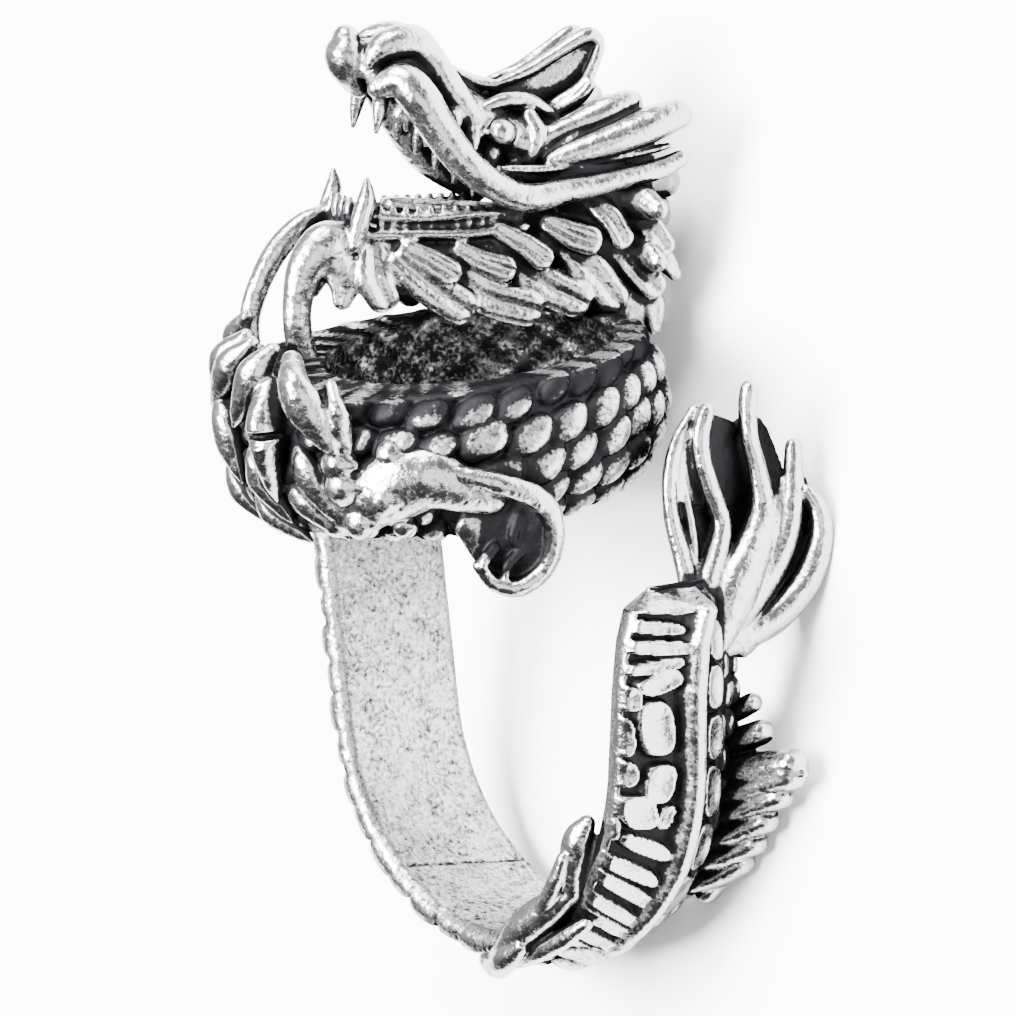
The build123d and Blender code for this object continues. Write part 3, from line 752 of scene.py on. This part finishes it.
# Two gum ridges and the canine
tooth_lines = [
    [
        (0.97, 0.17, 0.01, 0.45),
        (0.82, 0.2, 0, 0.42),
        (0.66, 0.22, 0.01, 0.42),
        (0.48, 0.23, 0.02, 0.4),
    ],
    [
        (0.98, 0.18, -0.05, 0.55),
        (0.82, 0.21, -0.05, 0.52),
        (0.66, 0.23, -0.05, 0.52),
        (0.48, 0.24, -0.03, 0.48),
    ],
    [
        (1.03, 0.19, -0.08, 0.8),
        (1.01, 0.19, 0, 1.03),
        (0.99, 0.19, 0.07, 0.93),
        (0.99, 0.19, 0.13, 0.3),
    ],
]
for side in (1, -1):
    across = np.array((1, side, 1, 1, 1))
    facing = 0.0 if side > 0 else 0.5
    for lock in upper_locks + lower_locks:
        rows = np.array(lock).reshape(3, 4)[:, [0, 1, 2, 3, 3]] * across * (1, 1, 1, 0.9, 1.2)
        jaw_shapes.append(on_head(lock_thick, rows, 28, 8, 0.75, facing))
    for line in tooth_lines:
        jaw_shapes.append(on_head(tooth_thick, np.array(line) * across[:4], 16, 6))
    for step in range(side_teeth):
        forward = 0.94 - tooth_pitch * step
        out = side * (0.175 + 0.005 * step)
        jaw_shapes.append(on_head(tooth_thick, [
            (forward, out, -0.06, 0.4, 0.5),
            (forward, out, 0.0, 0.4, 0.5),
            (forward, out, 0.035, 0.3, 0.4),
        ], 12, 3))
    for rows in [
        [(0.18, 0.2, 0.07, 0.6, 0.45), (0.1, 0.21, 0.04, 0.7, 0.6), (0.04, 0.21, 0.01, 0.6, 0.5)],
        [(0.08, 0.16, -0.09, 0.6, 0.5), (0, 0.17, -0.15, 0.7, 0.7), (-0.05, 0.17, -0.21, 0.5, 0.4)],
        [(0.08, 0.14, -0.22, 0.6, 0.6), (0.03, 0.16, -0.3, 0.75, 0.8), (0.02, 0.17, -0.38, 0.45, 0.45)],
    ]:
        jaw_shapes.append(on_head(lock_thick, np.array(rows) * across, 24, 6, 0.4, facing))
for side in (-0.1, -0.035, 0.035, 0.1):
    jaw_shapes.append(on_head(tooth_thick, [
        (1.0, side, -0.06, 0.8),
        (1.02, side, 0.02, 0.7),
        (1.02, side, 0.06, 0.35),
    ], 14, 5))
# Two beard strands that drop to the coil, with the chin's lobe between
for strand in [
    [
        (1.0, 0.13, -0.05, 1.1, 1.1),
        (1.05, 0.13, -0.07, 1.45, 1.5),
        (1.11, 0.13, -0.09, 1.6, 1.85),
        (1.17, 0.13, -0.15, 1.35, 1.45),
        (1.2, 0.13, -0.25, 1.05, 1.1),
        (1.2, 0.13, -0.36, 1.0, 1.02),
        (1.17, 0.12, -0.46, 1.0, 1.0),
        (1.12, 0.11, -0.56, 0.95, 0.95),
    ],
    [
        (1.09, 0.14, -0.1, 1.3, 1.51),
        (1.05, 0.15, -0.18, 1.1, 1.35),
        (1.06, 0.15, -0.26, 0.57, 0.7),
    ],
    [
        (1.0, -0.12, -0.01, 0.57, 0.57),
        (1.05, -0.12, -0.01, 0.7, 0.7),
        (1.12, -0.12, -0.04, 0.82, 0.82),
        (1.2, -0.12, -0.12, 0.85, 0.9),
        (1.26, -0.12, -0.23, 0.8, 0.85),
        (1.29, -0.12, -0.33, 0.75, 0.8),
        (1.29, -0.11, -0.43, 0.75, 0.8),
        (1.25, -0.1, -0.54, 0.75, 0.8),
    ],
]:
    jaw_shapes.append(on_head(strand_thick, strand, 28))
neck_and_jaw = cast("neck_and_jaw", jaw_shapes, jaw_cell, 2)
cast_on(neck_and_jaw)

# Upper head: skull, raised upper jaw with its fangs, nose and nostrils, the lip tubes that
# run on as whiskers, eyes under brows, and horns and ears laid back. Cast with the neck.
whisker_thick = 1.5
horn_thick = 1.3
eye_wide = 1.25
head_cell = 0.088
upper_teeth = 6
head_shapes = [
    on_head(head_width, [
        (-0.06, 0, 0.08, 0.34, 0.24),
        (0.02, 0, 0.11, 0.62, 0.4),
        (0.15, 0, 0.16, 0.76, 0.46),
        (0.36, 0, 0.2, 0.8, 0.46),
        (0.56, 0, 0.27, 0.66, 0.38),
        (0.74, 0, 0.4, 0.5, 0.3),
        (0.88, 0, 0.48, 0.44, 0.28),
        (0.97, 0, 0.49, 0.3, 0.26),
    ], 40),
    on_head(head_width, [
        (1.0, 0, 0.56, 0.2, 0.17),
        (1.0, 0, 0.51, 0.32, 0.27),
        (0.98, 0, 0.45, 0.28, 0.24),
        (0.96, 0, 0.4, 0.14, 0.13),
    ], 28),
]
# Lip tube that runs on as a whisker, and nostril tube
tubes = [
    [
        (0.94, 0.15, 0.41, 0.6, 0.6),
        (0.87, 0.17, 0.43, 1.05, 1.0),
        (0.82, 0.2, 0.38, 1.15, 1.1),
        (0.76, 0.22, 0.28, 1.05, 1.02),
        (0.68, 0.25, 0.17, 0.95, 0.92),
        (0.57, 0.26, 0.09, 0.86, 0.82),
        (0.48, 0.26, 0.06, 0.84, 0.8),
        (0.34, 0.25, 0.08, 0.76, 0.7),
        (0.17, 0.25, 0.11, 0.7, 0.62),
        (0.03, 0.24, 0.14, 0.66, 0.6),
        (-0.04, 0.24, 0.17, 0.5, 0.48),
    ],
    [
        (0.95, 0.07, 0.46, 0.5, 0.5),
        (0.9, 0.09, 0.53, 0.9, 0.9),
        (0.81, 0.09, 0.55, 1.0, 0.95),
        (0.75, 0.09, 0.5, 0.8, 0.8),
        (0.69, 0.1, 0.4, 0.85, 0.85),
        (0.62, 0.12, 0.3, 0.8, 0.8),
        (0.56, 0.13, 0.23, 0.55, 0.55),
    ],
]
# Brow, ridge behind the eye, two horns, a rod, the ear's two rims, its web and its root,
# snout ridge and cheek ridge
horns = [
    [
        (0.6, 0.11, 0.32, 0.35, 0.35),
        (0.57, 0.12, 0.34, 0.5, 0.45),
        (0.5, 0.12, 0.36, 0.62, 0.54),
        (0.42, 0.12, 0.35, 0.58, 0.51),
        (0.34, 0.12, 0.3, 0.35, 0.32),
    ],
    [
        (0.44, 0.15, 0.31, 0.55, 0.51),
        (0.42, 0.17, 0.25, 0.7, 0.64),
        (0.44, 0.17, 0.17, 0.5, 0.45),
    ],
    [
        (0.42, 0.16, 0.22, 0.6, 0.55),
        (0.37, 0.17, 0.25, 0.75, 0.68),
        (0.29, 0.17, 0.28, 0.9, 0.83),
        (0.2, 0.18, 0.32, 1.0, 0.92),
        (0.12, 0.18, 0.35, 0.85, 0.8),
    ],
    [
        (0.38, 0.21, 0.17, 0.6, 0.6),
        (0.33, 0.22, 0.19, 0.85, 0.76),
        (0.2, 0.23, 0.23, 1.1, 1.02),
        (0.06, 0.23, 0.28, 1.25, 1.15),
        (-0.03, 0.23, 0.31, 1.05, 1.0),
    ],
    [
        (0.55, 0.23, 0.15, 0.3, 0.28),
        (0.37, 0.23, 0.15, 0.34, 0.3),
        (0.1, 0.23, 0.19, 0.34, 0.3),
        (0, 0.23, 0.21, 0.25, 0.22),
    ],
    [
        (0.51, 0.06, 0.41, 0.32, 0.32),
        (0.41, 0.06, 0.45, 0.38, 0.38),
        (0.31, 0.07, 0.51, 0.4, 0.4),
        (0.22, 0.08, 0.56, 0.52, 0.5),
        (0.18, 0.08, 0.54, 0.38, 0.38),
    ],
    [
        (0.38, 0.09, 0.31, 0.3),
        (0.32, 0.09, 0.35, 0.36),
        (0.24, 0.09, 0.4, 0.4),
        (0.2, 0.09, 0.47, 0.38),
        (0.18, 0.08, 0.52, 0.38),
    ],
    [
        (0.49, 0.05, 0.36, 0.3, 0.8),
        (0.39, 0.04, 0.4, 0.3, 1.3),
        (0.29, 0.05, 0.45, 0.3, 1.35),
        (0.21, 0.06, 0.51, 0.28, 0.95),
    ],
    [
        (0.33, 0.1, 0.32, 0.4, 0.38),
        (0.26, 0.11, 0.36, 0.52, 0.46),
        (0.22, 0.11, 0.4, 0.4, 0.38),
    ],
    [
        (0.68, 0.04, 0.46, 0.4, 0.35),
        (0.6, 0.04, 0.42, 0.55, 0.45),
        (0.52, 0.05, 0.4, 0.45, 0.4),
    ],
    [
        (0.46, 0.19, 0.12, 0.45, 0.42),
        (0.34, 0.2, 0.13, 0.5, 0.45),
        (0.2, 0.2, 0.15, 0.4, 0.36),
    ],
]
fangs = [
    [
        (0.93, 0.1, 0.43, 1.1),
        (0.92, 0.12, 0.39, 0.95),
        (0.93, 0.13, 0.33, 0.7),
        (0.94, 0.13, 0.27, 0.28),
    ],
]
for step in range(upper_teeth):
    forward = 0.84 - 0.065 * step
    upper = 0.36 - 0.05 * step
    fangs.append([
        (forward - 0.02, 0.15, upper + 0.05, 1.0),
        (forward, 0.16, upper - 0.02, 0.8),
        (forward + 0.01, 0.165, upper - 0.08, 0.35),
    ])
for side in (1, -1):
    for girth, tables in ((whisker_thick, tubes), (horn_thick, horns), (tooth_thick, fangs)):
        for table in tables:
            head_shapes.append(on_head(girth, [(row[0], side * row[1], *row[2:]) for row in table], 24))
    head_shapes.append(ball(head_home, head_length, (0.54, side * 0.17, 0.26), eye_wide))
upper_head = cast("upper_head", head_shapes, head_cell, 2)
cast_on(upper_head)

# Flame tuft: the tail's end, a stem that fans out into curling strands with a thin web
# between them. It is cast on the top of the tail, and its valleys are left black.
tuft_height = 10.0
tuft_foot = 5.7
tuft_thick = 1.5
tuft_stain = 0.62
tail_cell = 0.075
right_angle = 2 * np.pi - right_flare
right_foot = bore_radius * np.array([cos(right_angle), sin(right_angle), 0])
right_end = right_foot + tuft_foot * np.array([-sin(right_angle), cos(right_angle), 0])
tuft_home = (right_end, np.array([[0, 1, 0], [0, 0, 1], [1, 0, 0]], float))
# Columns: up, side and front as shares of the tuft's height, width and depth of its girth
tuft_strands = [
    [
        (-0.02, -0.02, 0.02, 0.6, 0.6),
        (0.13, -0.03, -0.02, 0.6, 0.55),
        (0.27, -0.02, -0.06, 0.52, 0.5),
        (0.43, 0, -0.1, 0.45, 0.41),
        (0.59, -0.01, -0.12, 0.42, 0.39),
        (0.72, -0.05, -0.12, 0.4, 0.36),
        (0.84, -0.14, -0.12, 0.3, 0.3),
    ],
    [
        (0.1, -0.06, 0.01, 0.35, 0.3),
        (0.18, -0.06, -0.02, 0.34, 0.3),
        (0.33, -0.08, -0.06, 0.3, 0.28),
        (0.49, -0.07, -0.09, 0.26, 0.26),
        (0.63, -0.05, -0.11, 0.26, 0.26),
        (0.76, -0.11, -0.11, 0.24, 0.24),
    ],
    [
        (0, -0.02, 0.04, 0.75, 0.75),
        (0.1, -0.05, 0.02, 0.72, 0.72),
        (0.26, -0.15, 0, 0.66, 0.66),
        (0.39, -0.2, -0.02, 0.52, 0.52),
        (0.53, -0.15, -0.03, 0.5, 0.48),
        (0.65, -0.12, -0.05, 0.48, 0.46),
        (0.75, -0.12, -0.06, 0.5, 0.48),
        (0.84, -0.15, -0.06, 0.44, 0.44),
    ],
    [
        (-0.1, -0.06, 0.06, 0.7, 0.7),
        (-0.02, -0.12, 0.05, 1.15, 1.05),
        (0.12, -0.2, 0.05, 1.45, 1.25),
        (0.27, -0.31, 0.04, 1.2, 1.05),
        (0.42, -0.39, 0.02, 0.82, 0.75),
        (0.58, -0.38, 0, 0.55, 0.52),
        (0.72, -0.35, -0.02, 0.5, 0.48),
        (0.84, -0.36, -0.04, 0.52, 0.5),
        (0.91, -0.37, -0.04, 0.52, 0.5),
    ],
    [
        (-0.04, -0.14, 0.05, 0.9, 0.9),
        (0.04, -0.22, 0.05, 1.05, 1.05),
        (0.17, -0.36, 0.07, 0.9, 0.88),
        (0.32, -0.45, 0.09, 0.72, 0.68),
        (0.47, -0.5, 0.08, 0.64, 0.58),
        (0.58, -0.53, 0.05, 0.56, 0.52),
        (0.67, -0.55, 0.03, 0.46, 0.44),
    ],
    [
        (-0.1, -0.1, 0.05, 0.7, 0.72),
        (-0.07, -0.21, 0.06, 0.85, 0.8),
        (0, -0.37, 0.1, 0.95, 0.88),
        (0.13, -0.5, 0.15, 0.85, 0.8),
        (0.29, -0.58, 0.16, 0.74, 0.68),
        (0.42, -0.58, 0.15, 0.55, 0.5),
        (0.5, -0.54, 0.12, 0.33, 0.33),
    ],
]
tuft_web = [
    (-0.14, -0.02, 0.05, 1.8, 0.9),
    (0.02, -0.1, 0.02, 2.1, 0.6),
    (0.16, -0.2, -0.04, 3.0, 0.42),
    (0.32, -0.31, -0.08, 4.0, 0.32),
    (0.48, -0.33, -0.11, 4.4, 0.28),
    (0.6, -0.32, -0.14, 4.0, 0.25),
    (0.69, -0.27, -0.14, 2.6, 0.22),
]
side_web = [
    (-0.06, -0.2, 0.06, 1.4, 0.9),
    (0.06, -0.33, 0.05, 1.9, 0.7),
    (0.18, -0.42, 0.07, 2.1, 0.5),
    (0.3, -0.49, 0.08, 1.9, 0.42),
    (0.42, -0.52, 0.07, 1.5, 0.36),
    (0.54, -0.54, 0.04, 1.0, 0.28),
]
top_web = [
    (0.46, -0.22, -0.09, 2.6, 0.26),
    (0.6, -0.24, -0.09, 2.8, 0.24),
    (0.7, -0.25, -0.09, 2.5, 0.22),
    (0.78, -0.28, -0.08, 1.6, 0.2),
]
tuft_shapes = []
for web in (tuft_web, side_web, top_web):
    tuft_shapes.append(limb(tuft_home, tuft_height, tuft_thick, web, 40, 8))
for strand in tuft_strands:
    tuft_shapes.append(limb(tuft_home, tuft_height, tuft_thick, strand, 24, 8))
flame_tuft = cast("flame_tuft", tuft_shapes, tail_cell, 2)

# The valleys are stained by how far a point is from the nearest strand
tuft_places = places_of(flame_tuft, tuft_home) / tuft_height
off_strands = np.full(len(tuft_places), tuft_height)
for strand in tuft_strands:
    line = smooth_rows(strand, 5)
    away = np.linalg.norm(tuft_places[:, None, :] - line[None, :, :3], axis=2) * tuft_height
    off_strands = np.minimum(off_strands, (away - line[:, 3] * tuft_thick / 2).min(1))
valley = ease(off_strands, 0.08, 0.35) * ease(tuft_places[:, 0], 0.02, 0.15)
keep_stain_and_shade(flame_tuft.data, tuft_stain * valley)
cast_on(flame_tuft)

# Tail fins: flame-shaped lobes along the front edge below, and a row of rounded fins on
# the back edge of the tail. They are cast on the band.
fin_thick = 1.3
round_home = (np.zeros(3), np.eye(3))
# Columns: right, up and front as shares of the bore, width and depth of a fin's girth
front_fins = [
    [
        (0.7, -0.76, 0.4, 0.6, 0.6),
        (0.76, -0.65, 0.44, 0.9, 0.8),
        (0.78, -0.52, 0.46, 1.1, 0.9),
        (0.82, -0.4, 0.47, 1.05, 0.9),
        (0.88, -0.31, 0.47, 0.57, 0.5),
    ],
    [
        (0.84, -0.62, 0.42, 0.5, 0.45),
        (0.88, -0.5, 0.42, 0.6, 0.5),
        (0.93, -0.38, 0.42, 0.4, 0.35),
    ],
    [
        (0.25, -1.06, 0.46, 0.6, 0.6),
        (0.35, -1.01, 0.5, 0.8, 0.75),
        (0.48, -0.88, 0.5, 1.15, 1.05),
        (0.65, -0.75, 0.48, 1.1, 1.0),
        (0.77, -0.66, 0.46, 0.6, 0.6),
    ],
    [
        (0.12, -1.12, 0.42, 0.5, 0.5),
        (0.24, -1.12, 0.46, 0.8, 0.75),
        (0.38, -1.04, 0.52, 0.9, 0.8),
        (0.5, -0.96, 0.54, 0.5, 0.5),
    ],
    [
        (0.56, -0.84, 0.5, 0.45, 0.45),
        (0.66, -0.72, 0.53, 0.6, 0.5),
        (0.74, -0.6, 0.54, 0.55, 0.5),
        (0.79, -0.48, 0.54, 0.4, 0.35),
    ],
    [
        (0.38, -1.07, 0.44, 0.5, 0.5),
        (0.52, -1.0, 0.46, 0.64, 0.6),
        (0.7, -0.9, 0.46, 0.64, 0.6),
        (0.84, -0.8, 0.44, 0.45, 0.45),
    ],
]
# Columns: right and up of a rod's near end and far end as shares of the bore, and its size
back_rods = [
    (0.98, 0.1, 1.17, 0.19, 0.75),
    (0.98, -0.03, 1.23, 0.06, 0.95),
    (0.99, -0.14, 1.44, -0.05, 1.05),
    (0.98, -0.26, 1.44, -0.11, 1.0),
    (0.98, -0.36, 1.36, -0.22, 0.95),
    (0.98, -0.47, 1.27, -0.35, 0.95),
    (0.96, -0.58, 1.2, -0.47, 0.9),
    (0.89, -0.7, 1.12, -0.58, 0.85),
]
fin_shapes = []
for fin in front_fins:
    fin_shapes.append(limb(round_home, bore_radius, fin_thick, fin, 24, 8))
for near_across, near_up, far_across, far_up, size in back_rods:
    mid_across = 0.5 * (near_across + far_across)
    mid_up = 0.5 * (near_up + far_up) - 0.01
    fin_shapes.append(limb(round_home, bore_radius, fin_thick, [
        (near_across, near_up, -0.2, 0.8 * size, 0.9 * size),
        (mid_across, mid_up, -0.27, 0.9 * size, 1.2 * size),
        (far_across, far_up, -0.3, 0.85 * size, 1.1 * size),
    ], 24, 8))
fin_shapes.append(ball(round_home, bore_radius, (1.42, -0.09, -0.3), 1.55))
fin_shapes.append(limb(round_home, bore_radius, fin_thick, [
    (0.98, 0.1, -0.3, 0.8, 0.8),
    (1.02, -0.1, -0.3, 1.4, 1.1),
    (1.08, -0.3, -0.3, 1.4, 1.1),
    (1.02, -0.55, -0.3, 1.3, 1.0),
    (0.88, -0.76, -0.3, 0.9, 0.8),
]))
tail_fins = cast("tail_fins", fin_shapes, tail_cell, 2)
cast_on(tail_fins)

# Antique finish: the whole casting is dipped black and then polished, so black stays where
# the buff can't reach. How shut-in each point is, is worked out from how much of the
# casting's skin lies just in front of it, at three ranges, and kept as an attribute together
# with the stain and the painted shade of the inner walls.
air = 2.5
# Columns: cell, rounds of averaging, range, crowding where black starts and is full, share
ranges = [
    (0.14, 3, 0.3, 0.08, 0.3, 0.45),
    (0.25, 4, 0.65, 0.07, 0.36, 0.4),
    (0.42, 5, 1.3, 0.12, 0.55, 0.42),
]


def skin_arrays(piece):
    """A piece's points, point normals, face middles and face areas, in millimetres."""
    points = read_out(piece.data.vertices, "co", 3) / MM
    normals = read_out(piece.data.vertices, "normal", 3)
    middles = read_out(piece.data.polygons, "center", 3) / MM
    areas = read_out(piece.data.polygons, "area", 1)[:, 0] / MM**2
    return points, normals, middles, areas


def blurred(crowd, rounds):
    """A grid of amounts, each cell averaged with its two neighbours on every axis."""
    for axis in range(3):
        for _ in range(rounds):
            crowd = 0.25 * np.roll(crowd, 1, axis) + 0.5 * crowd + 0.25 * np.roll(crowd, -1, axis)
    return crowd


skins = [skin_arrays(piece) for piece in pieces]
low_corner = np.min([skin[0].min(0) for skin in skins], 0) - air
high_corner = np.max([skin[0].max(0) for skin in skins], 0) + air
crowds = []
for cell, rounds, *_ in ranges:
    shape = np.ceil((high_corner - low_corner) / cell).astype(int) + 2
    crowd = np.zeros(shape.prod())
    for points, normals, middles, areas in skins:
        index = ((middles - low_corner) / cell).astype(int)
        crowd += np.bincount(np.ravel_multi_index(index.T, shape), areas, shape.prod())
    crowds.append(blurred(crowd.reshape(shape), rounds) / cell**2)


def looked_up(crowd, cell, points):
    """Grid amounts at points, shared out between the eight cells round each."""
    place = (points - low_corner) / cell - 0.5
    base = np.floor(place).astype(int)
    part = place - base
    total = 0
    for corner in np.ndindex(2, 2, 2):
        weight = np.prod(np.where(np.array(corner), part, 1 - part), 1)
        x, y, z = (base + np.array(corner)).T
        total = total + weight * crowd[x, y, z]
    return total


for piece, (points, normals, middles, areas) in zip(pieces, skins):
    shut = 0
    for crowd, (cell, rounds, span, low, high, share) in zip(crowds, ranges):
        shut = shut + ease(looked_up(crowd, cell, points + normals * span), low, high) * share
    # Adds the stain and the painted shade of the band's and coil's inner walls
    stain_and_shade_layer = piece.data.attributes.get("stain_and_shade")
    if stain_and_shade_layer:
        shut = shut + read_out(stain_and_shade_layer.data, "value", 1)[:, 0]
    recess = piece.data.attributes.new("recess", "FLOAT", "POINT")
    recess.data.foreach_set("value", np.clip(shut, 0, 1).astype(np.float32))
    piece.data.shade_smooth()

# Floor, light and camera: a plain pale floor under soft studio light, seen from the
# photograph's side, with the camera turned as the ring is held upright in its picture.
floor_size = 2.0
pale_paper = (0.95, 0.95, 0.95, 1)
bpy.ops.mesh.primitive_plane_add(size=floor_size, location=(0, 0, 0))
floor = bpy.context.object
floor.name = "floor"
paper = bpy.data.materials.new("paper")
paper.use_nodes = True
paper_shader = paper.node_tree.nodes["Principled BSDF"]
paper_shader.inputs["Base Color"].default_value = pale_paper
paper_shader.inputs["Roughness"].default_value = 0.7
floor.data.materials.append(paper)

camera_azimuth = radians(48)
camera_height = radians(12)
camera_distance = 180.0
picture_scale = 24.2
picture_size = 1016
sensor = 36.0
bore_in_picture = (535, 713)

toward_camera = np.array([
    sin(camera_azimuth) * cos(camera_height),
    sin(camera_height),
    cos(camera_azimuth) * cos(camera_height),
])
picture_right = np.array([cos(camera_azimuth), 0, -sin(camera_azimuth)])
picture_up = np.cross(toward_camera, picture_right)
aim = (
    picture_right * (picture_size / 2 - bore_in_picture[0]) / picture_scale
    - picture_up * (picture_size / 2 - bore_in_picture[1]) / picture_scale
)
eye = toward_camera * camera_distance
look = (aim - eye) / np.linalg.norm(aim - eye)
look_right = np.cross(look, picture_up)
look_right /= np.linalg.norm(look_right)
look_up = np.cross(look_right, look)


def put_down(name, data, beside, over, away, spot):
    """An object in the scene at a spot, with its own three axes along three directions."""
    thing = bpy.data.objects.new(name, data)
    turned = np.eye(4)
    turned[:3] = np.stack([beside, over, away, spot], -1)
    thing.matrix_world = Matrix(turned.tolist())
    bpy.context.scene.collection.objects.link(thing)
    return thing


camera_data = bpy.data.cameras.new("camera")
camera_data.lens = sensor * picture_scale * camera_distance / picture_size
camera_data.sensor_width = sensor
camera_data.clip_start = 0.005
camera_data.clip_end = 10
looking = (rest_turn @ look_right, rest_turn @ look_up, rest_turn @ -look)
bpy.context.scene.camera = put_down("camera", camera_data, *looking, at_rest(eye))

light_aim = at_rest([-2, 8, 0])


def soft_light(name, direction, distance, size, power):
    """A square soft light in the picture's own directions, aimed at the ring."""
    right, up, near = direction
    place = picture_right * right + picture_up * up + toward_camera * near
    place = place / np.linalg.norm(place) * distance
    lamp = bpy.data.lights.new(name, "AREA")
    lamp.shape = "SQUARE"
    lamp.size = size
    lamp.energy = power
    spot = at_rest(place)
    away = spot - light_aim
    away /= np.linalg.norm(away)
    beside = np.cross([0.3, 0.2, 1.0], away)
    beside /= np.linalg.norm(beside)
    put_down(name, lamp, beside, np.cross(away, beside), away, spot)


soft_light("key light", (-0.8, 0.1, 0.58), 400, 0.25, 18.0)
soft_light("top light", (-0.4, 1.0, 0.5), 420, 0.25, 9.0)
soft_light("front light", (0.1, -0.2, 1.0), 450, 0.3, 1.5)

# The room round the ring: bright on the upper left of the picture, dim on the lower right
world = bpy.data.worlds.new("studio")
bpy.context.scene.world = world
world.use_nodes = True
room = world.node_tree.nodes
room_links = world.node_tree.links
way = room.new("ShaderNodeTexCoord")
leaning = room.new("ShaderNodeVectorMath")
leaning.operation = "DOT_PRODUCT"
bright_side = rest_turn @ (picture_up * 0.75 - picture_right * 0.6 + toward_camera * 0.1)
leaning.inputs[1].default_value = tuple(bright_side)
room_links.new(way.outputs["Generated"], leaning.inputs[0])
spread = room.new("ShaderNodeMapRange")
spread.interpolation_type = "SMOOTHSTEP"
spread.inputs["From Min"].default_value = -0.15
spread.inputs["From Max"].default_value = 0.95
spread.inputs["To Min"].default_value = 0.06
spread.inputs["To Max"].default_value = 1.25
room_links.new(leaning.outputs["Value"], spread.inputs["Value"])
room["Background"].inputs["Color"].default_value = (1, 1, 1, 1)
room_links.new(spread.outputs["Result"], room["Background"].inputs["Strength"])
